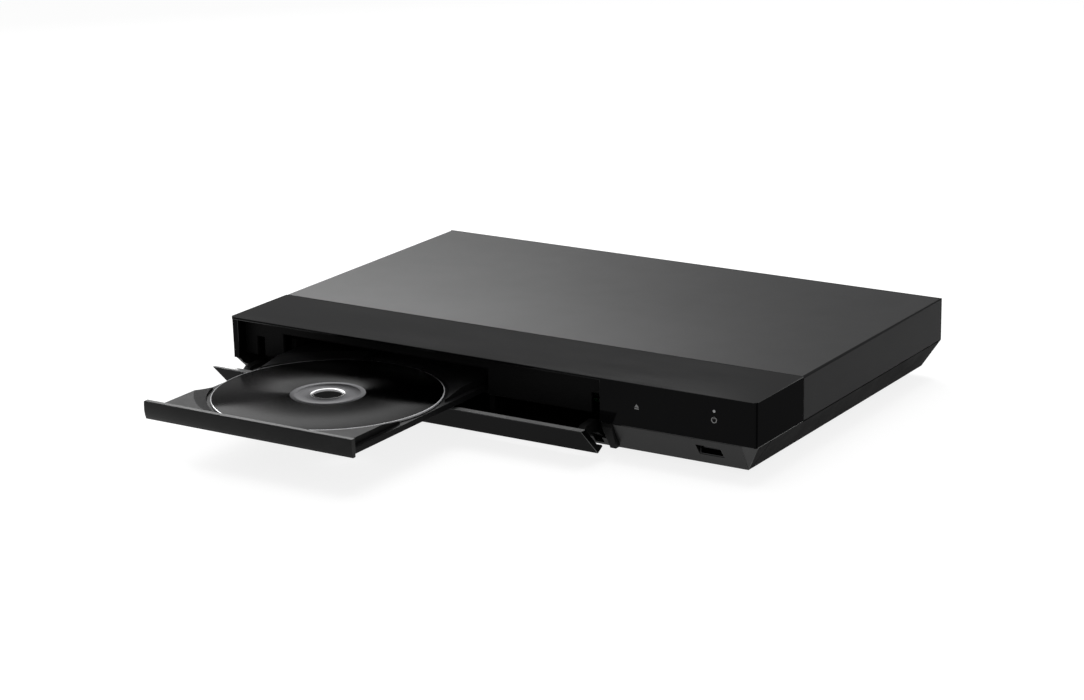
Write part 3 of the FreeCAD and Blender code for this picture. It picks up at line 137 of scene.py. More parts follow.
class DiscSettings(bpy.types.PropertyGroup):
    hub_edge: length_setting("Hub ring", "Outer radius of the silver ring about the hole", 19.5 * MM)
    print_edge: length_setting(
        "Printed edge", "Radius where the black label ends and the bare rim starts", 59.5 * MM,
    )
    stack_ring: length_setting(
        "Stacking ring", "Radius of the low ring that keeps stacked discs apart", 17.0 * MM,
    )
    steps: IntProperty(name="Steps", description="Sides of the turned disc", default=160, min=24)


class DetailSettings(bpy.types.PropertyGroup):
    mark_colour: colour_setting("Marks", "Colour of the printed marks on the front", (0.17, 0.17, 0.17))
    recess_width: length_setting("Cross recess", "Width of each bar of the cross in a screw head", 0.7 * MM)
    seed: IntProperty(
        name="Seed", description="Seed for the board parts and the turn of the screws", default=7,
    )


# Short ways to build node trees


class Graph:
    """Adds nodes to a tree and joins them."""

    def __init__(self, tree):
        self.tree = tree

    def feed(self, socket, value):
        if isinstance(value, bpy.types.NodeSocket):
            self.tree.links.new(value, socket)
        else:
            socket.default_value = value

    def add(self, kind, inputs=None, **settings):
        node = self.tree.nodes.new(kind)
        for name, value in settings.items():
            setattr(node, name, value)
        for name, value in (inputs or {}).items():
            self.feed(node.inputs[name], value)
        return node

    def sum(self, operation, a, b=0.0, clamp=False):
        node = self.add("ShaderNodeMath", operation=operation, use_clamp=clamp)
        self.feed(node.inputs[0], a)
        self.feed(node.inputs[1], b)
        return node.outputs[0]

    def times(self, a, b):
        return self.sum("MULTIPLY", a, b)

    def point(self, **parts):
        return self.add("ShaderNodeCombineXYZ", parts).outputs[0]

    def part(self, vector, axis):
        return self.add("ShaderNodeSeparateXYZ", {"Vector": vector}).outputs[axis]

    def length(self, vector):
        return self.add("ShaderNodeVectorMath", {0: vector}, operation="LENGTH").outputs["Value"]

    def vector(self, operation, a, b=(0.0, 0.0, 0.0)):
        node = self.add("ShaderNodeVectorMath", operation=operation)
        self.feed(node.inputs[0], a)
        self.feed(node.inputs[1], b)
        return node.outputs[0]

    def span(self, value, low, high, to_low, to_high):
        node = self.add("ShaderNodeMapRange")
        for socket, number in zip(node.inputs[:5], (value, low, high, to_low, to_high)):
            self.feed(socket, number)
        return node.outputs[0]

    def blend(self, factor, a, b):
        node = self.add("ShaderNodeMix", data_type="RGBA")
        self.feed(node.inputs[0], factor)
        self.feed(node.inputs[6], a)
        self.feed(node.inputs[7], b)
        return node.outputs[2]

    def noise(self, vector, scale, detail=2.0, roughness=0.5):
        inputs = {"Vector": vector, "Scale": scale, "Detail": detail, "Roughness": roughness}
        return self.add("ShaderNodeTexNoise", inputs).outputs["Fac"]


def new_group(name, inputs, outputs, kind="ShaderNodeTree"):
    tree = bpy.data.node_groups.new(name, kind)
    for label, socket_kind, default in inputs:
        socket = tree.interface.new_socket(name=label, in_out="INPUT", socket_type="NodeSocket" + socket_kind)
        if default is not None:
            socket.default_value = default
    for label, socket_kind in outputs:
        tree.interface.new_socket(name=label, in_out="OUTPUT", socket_type="NodeSocket" + socket_kind)
    graph = Graph(tree)
    graph.given = graph.add("NodeGroupInput").outputs
    graph.result = graph.add("NodeGroupOutput").inputs
    return graph


def moulded_grain():
    """The spark-eroded grain of a moulding: rounded pits with a little tone between them."""
    graph = new_group(
        "Moulded grain",
        [("Vector", "Vector", None), ("Grain size", "Float", 0.4), ("Tone spread", "Float", 0.2)],
        [("Height", "Float"), ("Tone", "Float")],
    )
    scale = graph.sum("DIVIDE", 1000.0, graph.given["Grain size"])
    cells = graph.add(
        "ShaderNodeTexVoronoi", {"Vector": graph.given["Vector"], "Scale": scale}, feature="SMOOTH_F1",
    )
    ripple = graph.noise(graph.given["Vector"], graph.times(scale, 1.7), 3.0)
    graph.feed(graph.result["Height"], graph.sum("ADD", cells.outputs["Distance"], graph.times(ripple, 0.6)))
    cloud = graph.noise(graph.given["Vector"], graph.times(scale, 0.02), 4.0, 0.6)
    low = graph.sum("SUBTRACT", 1.0, graph.given["Tone spread"])
    high = graph.sum("ADD", 1.0, graph.given["Tone spread"])
    graph.feed(graph.result["Tone"], graph.span(cloud, 0.3, 0.7, low, high))
    return graph.tree


def handling_haze():
    """Faint wiped smears and fine hairlines that change how sharply polished plastic reflects."""
    graph = new_group(
        "Handling haze",
        [
            ("Vector", "Vector", None), ("Smear size", "Float", 60.0), ("Lowest", "Float", 0.05),
            ("Highest", "Float", 0.12),
        ],
        [("Roughness", "Float"), ("Height", "Float")],
    )
    scale = graph.sum("DIVIDE", 1000.0, graph.given["Smear size"])
    turned = graph.add(
        "ShaderNodeMapping",
        {"Vector": graph.given["Vector"], "Rotation": (0.0, 0.0, 0.5), "Scale": (1.0, 3.5, 1.0)},
    )
    smear = graph.noise(turned.outputs[0], scale, 5.0, 0.62)
    fine = graph.add(
        "ShaderNodeMapping",
        {"Vector": graph.given["Vector"], "Rotation": (0.0, 0.0, 0.2), "Scale": (1.0, 30.0, 1.0)},
    )
    hair = graph.noise(fine.outputs[0], graph.times(scale, 3.0), 3.0)
    mixed = graph.sum("ADD", graph.times(smear, 0.75), graph.times(hair, 0.25))
    graph.feed(
        graph.result["Roughness"],
        graph.span(mixed, 0.35, 0.65, graph.given["Lowest"], graph.given["Highest"]),
    )
    graph.feed(graph.result["Height"], hair)
    return graph.tree


def drawn_metal():
    """Fine parallel lines left by rolling or brushing, with a broad change of tone."""
    graph = new_group(
        "Drawn metal",
        [("Vector", "Vector", None), ("Line size", "Float", 0.15), ("Stretch", "Vector", (1.0, 0.03, 1.0))],
        [("Height", "Float"), ("Tone", "Float")],
    )
    scale = graph.sum("DIVIDE", 1000.0, graph.given["Line size"])
    pulled = graph.vector("MULTIPLY", graph.given["Vector"], graph.given["Stretch"])
    lines = graph.noise(pulled, scale, 4.0, 0.7)
    cloud = graph.noise(graph.given["Vector"], graph.times(scale, 0.015), 3.0)
    graph.feed(graph.result["Height"], lines)
    both = graph.sum("ADD", graph.times(lines, 0.5), graph.times(cloud, 0.5))
    graph.feed(graph.result["Tone"], graph.span(both, 0.3, 0.7, 0.75, 1.15))
    return graph.tree


def board_print():
    """Copper tracks, solder lands and small holes under green lacquer."""
    graph = new_group(
        "Board print",
        [("Vector", "Vector", None), ("Track pitch", "Float", 1.4)],
        [("Track", "Float"), ("Land", "Float"), ("Height", "Float")],
    )
    scale = graph.sum("DIVIDE", 1000.0, graph.given["Track pitch"])
    coarse = graph.add(
        "ShaderNodeTexVoronoi", {"Vector": graph.given["Vector"], "Scale": graph.times(scale, 0.09)},
        distance="MANHATTAN",
    )
    bent = graph.vector("ADD", graph.given["Vector"], graph.vector("SCALE", coarse.outputs["Position"]))
    lanes = graph.add(
        "ShaderNodeTexWave",
        {
            "Vector": graph.given["Vector"], "Scale": graph.times(scale, 0.32),
            "Phase Offset": coarse.outputs["Distance"],
        },
        bands_direction="X",
    )
    rows = graph.add(
        "ShaderNodeTexWave", {"Vector": bent, "Scale": graph.times(scale, 0.32)}, bands_direction="Y",
    )
    which = graph.span(graph.sum("FRACT", graph.times(coarse.outputs["Distance"], 3.0)), 0.5, 0.52, 0.0, 1.0)
    lane = graph.sum("GREATER_THAN", lanes.outputs["Fac"], 0.62)
    row = graph.sum("GREATER_THAN", rows.outputs["Fac"], 0.62)
    away = graph.sum("SUBTRACT", 1.0, which)
    track = graph.sum("ADD", graph.times(lane, which), graph.times(row, away), clamp=True)
    dots = graph.add(
        "ShaderNodeTexVoronoi",
        {"Vector": graph.given["Vector"], "Scale": graph.times(scale, 0.45), "Randomness": 0.75},
    )
    land = graph.sum("LESS_THAN", dots.outputs["Distance"], 0.16)
    graph.feed(graph.result["Track"], track)
    graph.feed(graph.result["Land"], land)
    graph.feed(graph.result["Height"], graph.sum("ADD", track, land, clamp=True))
    return graph.tree


# Finishes


class Finish:
    """A material with one Principled shader whose place is read in the object's own metres."""

    def __init__(self, name, colour, roughness, metallic=0.0, specular=0.5):
        self.material = bpy.data.materials.new(name)
        self.material.use_nodes = True
        self.graph = Graph(self.material.node_tree)
        self.shader = self.material.node_tree.nodes["Principled BSDF"]
        self.colour = tuple(colour) + (1.0,)
        self.shader.inputs["Base Color"].default_value = self.colour
        self.shader.inputs["Roughness"].default_value = roughness
        self.shader.inputs["Metallic"].default_value = metallic
        self.shader.inputs["Specular IOR Level"].default_value = specular
        self.place = self.graph.add("ShaderNodeTexCoord").outputs["Object"]

    def group(self, tree, **values):
        node = self.graph.add("ShaderNodeGroup", node_tree=tree)
        node.inputs["Vector"].default_value = (0.0, 0.0, 0.0)
        self.graph.feed(node.inputs["Vector"], self.place)
        for name, value in values.items():
            self.graph.feed(node.inputs[name.replace("_", " ").capitalize()], value)
        return node.outputs

    def set(self, socket, value):
        self.graph.feed(self.shader.inputs[socket], value)

    def toned(self, tone):
        """The base colour made lighter and darker by a tone about 1."""
        scaled = self.graph.add("ShaderNodeVectorMath", operation="SCALE")
        scaled.inputs[0].default_value = self.colour[:3]
        self.graph.feed(scaled.inputs["Scale"], tone)
        self.set("Base Color", scaled.outputs[0])

    def bump(self, height, depth, strength=1.0):
        node = self.graph.add("ShaderNodeBump", {"Height": height, "Distance": depth, "Strength": strength})
        self.set("Normal", node.outputs[0])


GROUPS = {}
FINISHES = {}


def shared(name):
    makers = {"grain": moulded_grain, "haze": handling_haze, "drawn": drawn_metal, "print": board_print}
    if name not in GROUPS:
        GROUPS[name] = makers[name]()
    return GROUPS[name]


def moulded(name, colour, roughness, grain=0.45, depth=0.012, spread=0.15, specular=0.5):
    made = Finish(name, colour, roughness, specular=specular)
    out = made.group(shared("grain"), grain_size=grain, tone_spread=spread)
    made.toned(out["Tone"])
    made.set("Roughness", made.graph.span(out["Tone"], 0.8, 1.2, roughness - 0.06, roughness + 0.06))
    made.bump(out["Height"], depth * MM)
    return made


def polished(name, colour, low, high, specular):
    made = Finish(name, colour, low, specular=specular)
    out = made.group(shared("haze"), smear_size=55.0, lowest=low, highest=high)
    made.set("Roughness", out["Roughness"])
    made.bump(out["Height"], 0.0006 * MM)
    return made


def metal(name, colour, roughness, lines=0.15, stretch=(1.0, 0.03, 1.0), depth=0.003):
    made = Finish(name, colour, roughness, metallic=1.0)
    out = made.group(shared("drawn"), line_size=lines, stretch=stretch)
    made.toned(out["Tone"])
    made.set("Roughness", made.graph.span(out["Tone"], 0.75, 1.15, roughness + 0.08, roughness - 0.05))
    made.bump(out["Height"], depth * MM)
    return made


def cover_paint(name, roughness, specular):
    """Textured black paint: fine rounded beads with a slight sheen."""
    made = Finish(name, bpy.context.scene.player_housing.steel_colour, roughness, specular=specular)
    out = made.group(shared("grain"), grain_size=0.32, tone_spread=0.10)
    made.toned(out["Tone"])
    made.bump(out["Height"], 0.008 * MM)
    return made, out


def painted_steel():
    made, out = cover_paint("Textured cover paint", 0.42, 0.12)
    cloud = made.graph.noise(made.place, 9.0, 4.0, 0.6)
    made.set("Roughness", made.graph.span(cloud, 0.3, 0.7, 0.39, 0.45))
    return made


# A less reflective copy of the cover paint for the cover's sides: painted shade.
def side_paint_painted_shade():
    """The same paint on the cover's sides, with less reflection as painted shade beside the bright floor."""
    made, out = cover_paint("Cover paint at the sides", 0.44, 0.05)
    made.set("Roughness", made.graph.span(out["Tone"], 0.9, 1.1, 0.42, 0.46))
    return made


def satin_paint():
    colour = bpy.context.scene.player_housing.satin_colour
    return moulded("Satin front plastic", colour, 0.33, grain=0.25, depth=0.0035, spread=0.10, specular=0.07)


def gloss_plastic():
    return polished(
        "Polished black plastic", bpy.context.scene.player_housing.gloss_colour, 0.045, 0.10, 0.037,
    )


# A less reflective copy of the polished black plastic: painted shade on the flap's face and the front's ends.
def gloss_under():
    """The same plastic on the flap's face and the front's ends, with less reflection as painted shade over
    the bright floor.
    """
    return polished("Polished black flap", bpy.context.scene.player_housing.gloss_colour, 0.06, 0.12, 0.004)


def board_lacquer():
    made = Finish("Green board lacquer", (0.012, 0.085, 0.030), 0.32)
    out = made.group(shared("print"), track_pitch=1.5)
    track = made.graph.blend(out["Track"], made.colour, (0.030, 0.150, 0.052, 1.0))
    made.set("Base Color", made.graph.blend(out["Land"], track, (0.62, 0.60, 0.54, 1.0)))
    made.set("Roughness", made.graph.span(out["Land"], 0.0, 1.0, 0.32, 0.22))
    made.bump(out["Height"], 0.02 * MM)
    return made


def ribbon_film(name, axis):
    """White film with a row of flat conductors showing through it, side by side along one axis."""
    made = Finish(name, (0.70, 0.70, 0.68), 0.40)
    pitch = 1.0 * MM
    bands = made.graph.sum("SINE", made.graph.times(made.graph.part(made.place, axis), 2 * math.pi / pitch))
    mask = made.graph.span(bands, -0.1, 0.25, 0.0, 1.0)
    made.set("Base Color", made.graph.blend(mask, made.colour, (0.50, 0.50, 0.49, 1.0)))
    made.bump(mask, 0.02 * MM)
    return made


def wound_tape():
    """Yellow tape laid in turns about the coil."""
    made = Finish("Wound coil tape", (0.62, 0.42, 0.05), 0.42)
    pitch = 1.6 * MM
    turns = made.graph.sum("SINE", made.graph.times(made.graph.part(made.place, "X"), 2 * math.pi / pitch))
    made.toned(made.graph.span(made.graph.noise(made.place, 400.0, 3.0), 0.3, 0.7, 0.85, 1.12))
    made.bump(turns, 0.05 * MM)
    return made


def lens_coating():
    made = Finish("Coated lens", (0.05, 0.07, 0.16), 0.04, specular=0.9)
    out = made.group(shared("haze"), smear_size=6.0, lowest=0.03, highest=0.07)
    made.set("Roughness", out["Roughness"])
    made.shader.inputs["Coat Weight"].default_value = 0.6
    made.bump(out["Height"], 0.0004 * MM)
    return made


def lit_window():
    """The end of the clear light guide, lit faintly white from behind."""
    made = Finish("Lit light guide", (0.20, 0.20, 0.20), 0.25)
    away = made.graph.noise(made.place, 2500.0, 2.0)
    made.set("Emission Strength", 0.06)
    made.set("Emission Color", made.graph.blend(away, (1.0, 1.0, 1.0, 1.0), (0.75, 0.80, 0.85, 1.0)))
    made.set("Roughness", made.graph.span(away, 0.3, 0.7, 0.2, 0.35))
    return made


def disc_radius(made):
    """The distance from the disc's own middle, as a vector that a noise can read."""
    offset = made.graph.vector("SUBTRACT", made.place, disc_centre())
    flat = made.graph.vector("MULTIPLY", offset, (1.0, 1.0, 0.0))
    return made.graph.point(X=made.graph.length(flat))


def ringed_metal(name, colour, roughness, noise, tone, spread, anisotropic=0.0):
    """Metal that changes a little in tone and polish in fine rings about the disc's middle."""
    made = Finish(name, colour, roughness, metallic=1.0)
    made.bands = made.graph.noise(disc_radius(made), *noise)
    if tone:
        made.toned(made.graph.span(made.bands, 0.3, 0.7, *tone))
    made.set("Roughness", made.graph.span(made.bands, 0.3, 0.7, *spread))
    if anisotropic:
        made.shader.inputs["Anisotropic"].default_value = anisotropic
        tangent = made.graph.add("ShaderNodeTangent", direction_type="RADIAL", axis="Z")
        made.set("Tangent", tangent.outputs[0])
    return made


def label_print():
    """Black label lacquer over the disc's fine turned tracks, so that light fans out from the hub."""
    made = ringed_metal(
        "Black label lacquer", (0.016, 0.016, 0.016), 0.27, (1600.0, 3.0, 0.6), (0.9, 1.1), (0.19, 0.22),
        0.97,
    )
    made.shader.inputs["Specular Tint"].default_value = (0.5, 0.5, 0.5, 1.0)
    made.shader.inputs["Anisotropic Rotation"].default_value = 0.25
    return made


def hub_lip():
    """The bright clamping land between the hole and the silver ring."""
    return ringed_metal("Clamping land", (0.22, 0.22, 0.22), 0.24, (2500.0, 2.0), (0.95, 1.05), (0.20, 0.28))


def mirror_ring():
    made = ringed_metal(
        "Silvered hub ring", (0.06, 0.06, 0.0615), 0.34, (2500.0, 3.0, 0.6), (0.93, 1.05), (0.30, 0.40), 0.4,
    )
    made.shader.inputs["Specular Tint"].default_value = (0.45, 0.45, 0.45, 1.0)
    return made


def read_side():
    """The dark violet reading side, with the faint bands of its recorded zones."""
    made = ringed_metal("Reading side", (0.16, 0.14, 0.24), 0.16, (260.0, 4.0, 0.6), None, (0.13, 0.20), 0.85)
    zone = made.graph.span(made.bands, 0.35, 0.65, 0.0, 1.0)
    made.set("Base Color", made.graph.blend(zone, made.colour, (0.24, 0.18, 0.22, 1.0)))
    return made


def bare_rim():
    made = Finish("Bare disc rim", (0.42, 0.42, 0.43), 0.18, specular=0.7)
    out = made.group(shared("haze"), smear_size=20.0, lowest=0.14, highest=0.26)
    made.set("Roughness", out["Roughness"])
    return made


def mark_ink():
    made = Finish("Printed mark ink", bpy.context.scene.player_details.mark_colour, 0.5)
    made.toned(made.graph.span(made.graph.noise(made.place, 3000.0, 2.0), 0.3, 0.7, 0.85, 1.1))
    return made


# Plain mouldings: material name, colour, roughness, and the grain, depth, spread and specular that differ
MOULDINGS = {
    # A lighter, more reflective copy of the polished black plastic for the eased rims: a painted highlight.
    "gloss_edge": (
        "Eased gloss edge", (0.006, 0.006, 0.006), 0.20,
        {"grain": 0.25, "depth": 0.001, "spread": 0.1, "specular": 0.35},
    ),
    "black_plastic": (
        "Matt black moulding", (0.0042, 0.0042, 0.0042), 0.50,
        {"grain": 0.5, "depth": 0.010, "specular": 0.05},
    ),
    "base_plastic": (
        "Black base moulding", (0.006, 0.006, 0.006), 0.42,
        {"grain": 0.35, "depth": 0.006, "specular": 0.002},
    ),
    "satin_edge": (
        "Satin flap edge", (0.012, 0.012, 0.012), 0.24,
        {"grain": 0.25, "depth": 0.002, "spread": 0.1, "specular": 0.5},
    ),
    "dark_grey_plastic": (
        "Dark grey moulding", (0.0060, 0.0060, 0.0062), 0.42,
        {"grain": 0.3, "depth": 0.004, "spread": 0.10, "specular": 0.035},
    ),
    "satin_bar": (
        "Satin drawer bar", (0.0165, 0.0165, 0.0165), 0.33,
        {"grain": 0.25, "depth": 0.0035, "spread": 0.1, "specular": 0.07},
    ),
    # A lighter, more reflective copy of the satin plastic for the strip's corner facet: a painted highlight.
    "satin_facet": (
        "Satin corner facet", (0.020, 0.020, 0.020), 0.30,
        {"grain": 0.25, "depth": 0.003, "spread": 0.1, "specular": 0.16},
    ),
    # A much lighter copy of the satin plastic for the flap's top lip: a painted highlight.
    "flap_lip": (
        "Satin flap lip", (0.15, 0.15, 0.15), 0.26,
        {"grain": 0.25, "depth": 0.002, "spread": 0.1, "specular": 0.5},
    ),
    "white_plastic": (
        "White bearing plastic", (0.66, 0.65, 0.61), 0.42, {"grain": 0.6, "depth": 0.006, "spread": 0.05},
    ),
    "rubber": (
        "Black rubber", (0.013, 0.013, 0.013), 0.72,
        {"grain": 0.35, "depth": 0.02, "spread": 0.2, "specular": 0.3},
    ),
    "chip_black": ("Chip resin", (0.016, 0.016, 0.017), 0.55, {"grain": 0.2, "depth": 0.004}),
    "capacitor_sleeve": (
        "Shrunk sleeve", (0.012, 0.018, 0.045), 0.30, {"grain": 1.2, "depth": 0.01, "spread": 0.1},
    ),
}

# Metals: material name, colour, roughness, and the lines and stretch that differ
METALS = {
    "usb_shell": ("Blackened socket shell", (0.035, 0.035, 0.036), 0.38, {"lines": 0.2}),
    "plated_steel": ("Zinc plated sheet", (0.60, 0.61, 0.62), 0.34, {"lines": 0.3}),
    "shaft_steel": (
        "Ground shaft steel", (0.52, 0.52, 0.53), 0.24, {"lines": 0.08, "stretch": (1.0, 1.0, 0.05)},
    ),
    "motor_can": ("Motor can steel", (0.46, 0.46, 0.47), 0.36, {"lines": 0.2, "stretch": (1.0, 1.0, 0.08)}),
    "aluminium": ("Extruded aluminium", (0.72, 0.72, 0.73), 0.30, {"lines": 0.25}),
    "socket_steel": ("Tinned socket shell", (0.58, 0.57, 0.55), 0.30, {"lines": 0.2}),
    "contact_gold": ("Gilded contacts", (0.83, 0.61, 0.26), 0.22, {"lines": 0.1}),
    "copper_wire": (
        "Enamelled winding wire", (0.60, 0.24, 0.09), 0.28, {"lines": 0.2, "stretch": (0.05, 1.0, 1.0)},
    ),
}

MAKERS = {
    "gloss_black": gloss_plastic,
    "gloss_under": gloss_under,
    "satin_strip": satin_paint,
    "cover_steel": painted_steel,
    "cover_side": side_paint_painted_shade,
    "board_green": board_lacquer,
    "lens_glass": lens_coating,
    "ribbon_white": lambda: ribbon_film("White ribbon film", "X"),
    "clear_plastic": lit_window,
    "coil_yellow": wound_tape,
    "label_print": label_print,
    "mirror_ring": mirror_ring,
    "read_side": read_side,
    "bare_rim": bare_rim,
    "hub_lip": hub_lip,
    "mark_ink": mark_ink,
    "ribbon_along_x": lambda: ribbon_film("White ribbon film along X", "Y"),
}


def finish(name):
    if name not in FINISHES:
        if name in MAKERS:
            made = MAKERS[name]()
        else:
            maker, rows = (moulded, MOULDINGS) if name in MOULDINGS else (metal, METALS)
            label, colour, roughness, rest = rows[name]
            made = maker(label, colour, roughness, **rest)
        FINISHES[name] = made.material
    return FINISHES[name]


def has_finish(name):
    return name in MAKERS or name in MOULDINGS or name in METALS


# Short ways to build meshes


def node_slot(node):
    for row in frame["record"]["subparts"]:
        if row["node"] == node:
            return row["material_slot"]
    raise RuntimeError("no sub-part is called " + node)


def node_body(node):
    return frame["nodes"][node].parent.name.split(":")[1]


def keep_piece(name, mesh, body, finishes, stands_for=()):
    """Puts a finished mesh into the scene, sets it on the body it rides on and hides the nodes it stands for.
    """
    mesh.name = name
    for i, made in enumerate(finishes):
        if i < len(mesh.materials):
            mesh.materials[i] = finish(made)
        else:
            mesh.materials.append(finish(made))
    while len(mesh.materials) > len(finishes):
        mesh.materials.pop()
    if len(finishes) == 1:
        for face in mesh.polygons:
            face.material_index = 0
    piece = bpy.data.objects.new(name, mesh)
    bpy.context.scene.collection.objects.link(piece)
    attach(piece, body)
    if stands_for:
        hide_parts(*stands_for)
    return piece


def smoothed(mesh, degrees=32.0):
    mesh.shade_smooth()
    mesh.set_sharp_from_angle(angle=math.radians(degrees))
    return mesh


def merged(node):
    """A clean copy of a CAD node: its loose triangles joined, flat faces made whole."""
    source = frame["nodes"][node]
    shape = bmesh.new()
    shape.from_mesh(source.data)
    bmesh.ops.transform(shape, matrix=source.matrix_world, verts=shape.verts)
    bmesh.ops.remove_doubles(shape, verts=shape.verts, dist=2e-6)
    bmesh.ops.dissolve_limit(shape, angle_limit=math.radians(0.3), verts=shape.verts, edges=shape.edges)
    return shape


def eased(node, width, shortest=0.9 * MM, sharp=33.0, curve=31.0, zone=None):
    """A merged copy whose sharp edges have a small round, as mouldings and folded sheet do."""
    shape = merged(node)
    picked = []
    for edge in shape.edges:
        if len(edge.link_faces) == 2 and edge.calc_length() > shortest:
            if edge.calc_face_angle(0.0) > math.radians(sharp):
                picked.append(edge)
    rounds = bmesh.ops.bevel(shape, geom=picked, offset=width, offset_type="OFFSET", segments=2, profile=0.5,
                             affect="EDGES", clamp_overlap=False)["faces"]
    rounded = {face for face in rounds if narrow(face, 1.1 * width)}
    for face in shape.faces:
        face.material_index = zone(face, face in rounded) if zone else 0
        face.smooth = face in rounded or (narrow(face, 4.0 * MM) and bends(face, rounded, curve))
    for edge in shape.edges:
        edge.smooth = len(edge.link_faces) == 2 and edge.calc_face_angle(0.0) < math.radians(40.0)
    mesh = bpy.data.meshes.new(node + "_eased")
    shape.to_mesh(mesh)
    shape.free()
    return mesh


def narrow(face, limit):
    """True for the slim faces a bevel adds, and not for the flat ones it trims."""
    longest = max(edge.calc_length() for edge in face.edges)
    return longest > 0.0 and face.calc_area() / longest < limit


def bends(face, rounded, curve):
    """True where a face is one step of a curved wall, so that it is shaded smooth."""
    for edge in face.edges:
        for other in edge.link_faces:
            if other is face or other in rounded:
                continue
            if math.radians(1.5) < face.normal.angle(other.normal, 0.0) < math.radians(curve):
                return True
    return False


def turned(profile, centre, steps, zones=None):
    """A closed profile of (radius, height) corners turned about an upright axis."""
    shape = bmesh.new()
    rings = []
    for step in range(steps):
        angle = 2 * math.pi * step / steps
        ring = []
        for radius, height in profile:
            spot = (centre[0] + radius * math.cos(angle), centre[1] + radius * math.sin(angle), height)
            ring.append(shape.verts.new(spot))
        rings.append(ring)
    count = len(profile)
    for step in range(steps):
        here = rings[step]
        there = rings[(step + 1) % steps]
        for i in range(count):
            j = (i + 1) % count
            face = shape.faces.new((here[i], there[i], there[j], here[j]))
            if zones:
                face.material_index = zones[i]
    bmesh.ops.recalc_face_normals(shape, faces=shape.faces)
    mesh = bpy.data.meshes.new("turned")
    shape.to_mesh(mesh)
    shape.free()
    return smoothed(mesh, 40.0)


def prism(outlines, axis, low, high):
    """Flat outlines pulled between two values along one axis, all in one mesh."""
    shape = bmesh.new()
    orders = {"X": (2, 0, 1), "Y": (0, 2, 1), "Z": (0, 1, 2)}
    order = orders[axis]
    for outline in outlines:
        caps = []
        for level in (low, high):
            corners = []
            for u, v in outline:
                spot = (u, v, level)
                corners.append(shape.verts.new([spot[k] for k in order]))
            caps.append(corners)
        shape.faces.new(caps[0])
        shape.faces.new(caps[1])
        for i in range(len(outline)):
            j = (i + 1) % len(outline)
            shape.faces.new((caps[0][i], caps[0][j], caps[1][j], caps[1][i]))
    bmesh.ops.recalc_face_normals(shape, faces=shape.faces)
    mesh = bpy.data.meshes.new("prism")
    shape.to_mesh(mesh)
    shape.free()
    return mesh


def joined(meshes):
    shape = bmesh.new()
    for mesh in meshes:
        shape.from_mesh(mesh)
        bpy.data.meshes.remove(mesh)
    mesh = bpy.data.meshes.new("joined")
    shape.to_mesh(mesh)
    shape.free()
    return mesh


def islands(node):
    """The lowest and the highest corner of each separate solid of a node, sorted by place."""
    shape = merged(node)
    left = set(shape.verts)
    found = []
    while left:
        start = left.pop()
        group = {start}
        edge_front = [start]
        while edge_front:
            vert = edge_front.pop()
            for edge in vert.link_edges:
                other = edge.other_vert(vert)
                if other not in group:
                    group.add(other)
                    edge_front.append(other)
        left -= group
        low = Vector([min(v.co[k] for v in group) for k in range(3)])
        high = Vector([max(v.co[k] for v in group) for k in range(3)])
        found.append((low, high))
    shape.free()
    found.sort(key=lambda pair: (round(pair[0].x, 4), round(pair[0].y, 4), round(pair[0].z, 4)))
    return found


# Geometry node trees for what repeats


def new_tree(name, inputs):
    return new_group(
        name, [("Geometry", "Geometry", None)] + inputs, [("Geometry", "Geometry")], "GeometryNodeTree",
    )


def end_tree(graph, geometry):
    real = graph.add("GeometryNodeRealizeInstances", {"Geometry": geometry})
    coated = graph.add(
        "GeometryNodeSetMaterial", {"Geometry": real.outputs[0], "Material": graph.given["Material"]},
    )
    graph.feed(graph.result["Geometry"], coated.outputs[0])
    return graph.tree


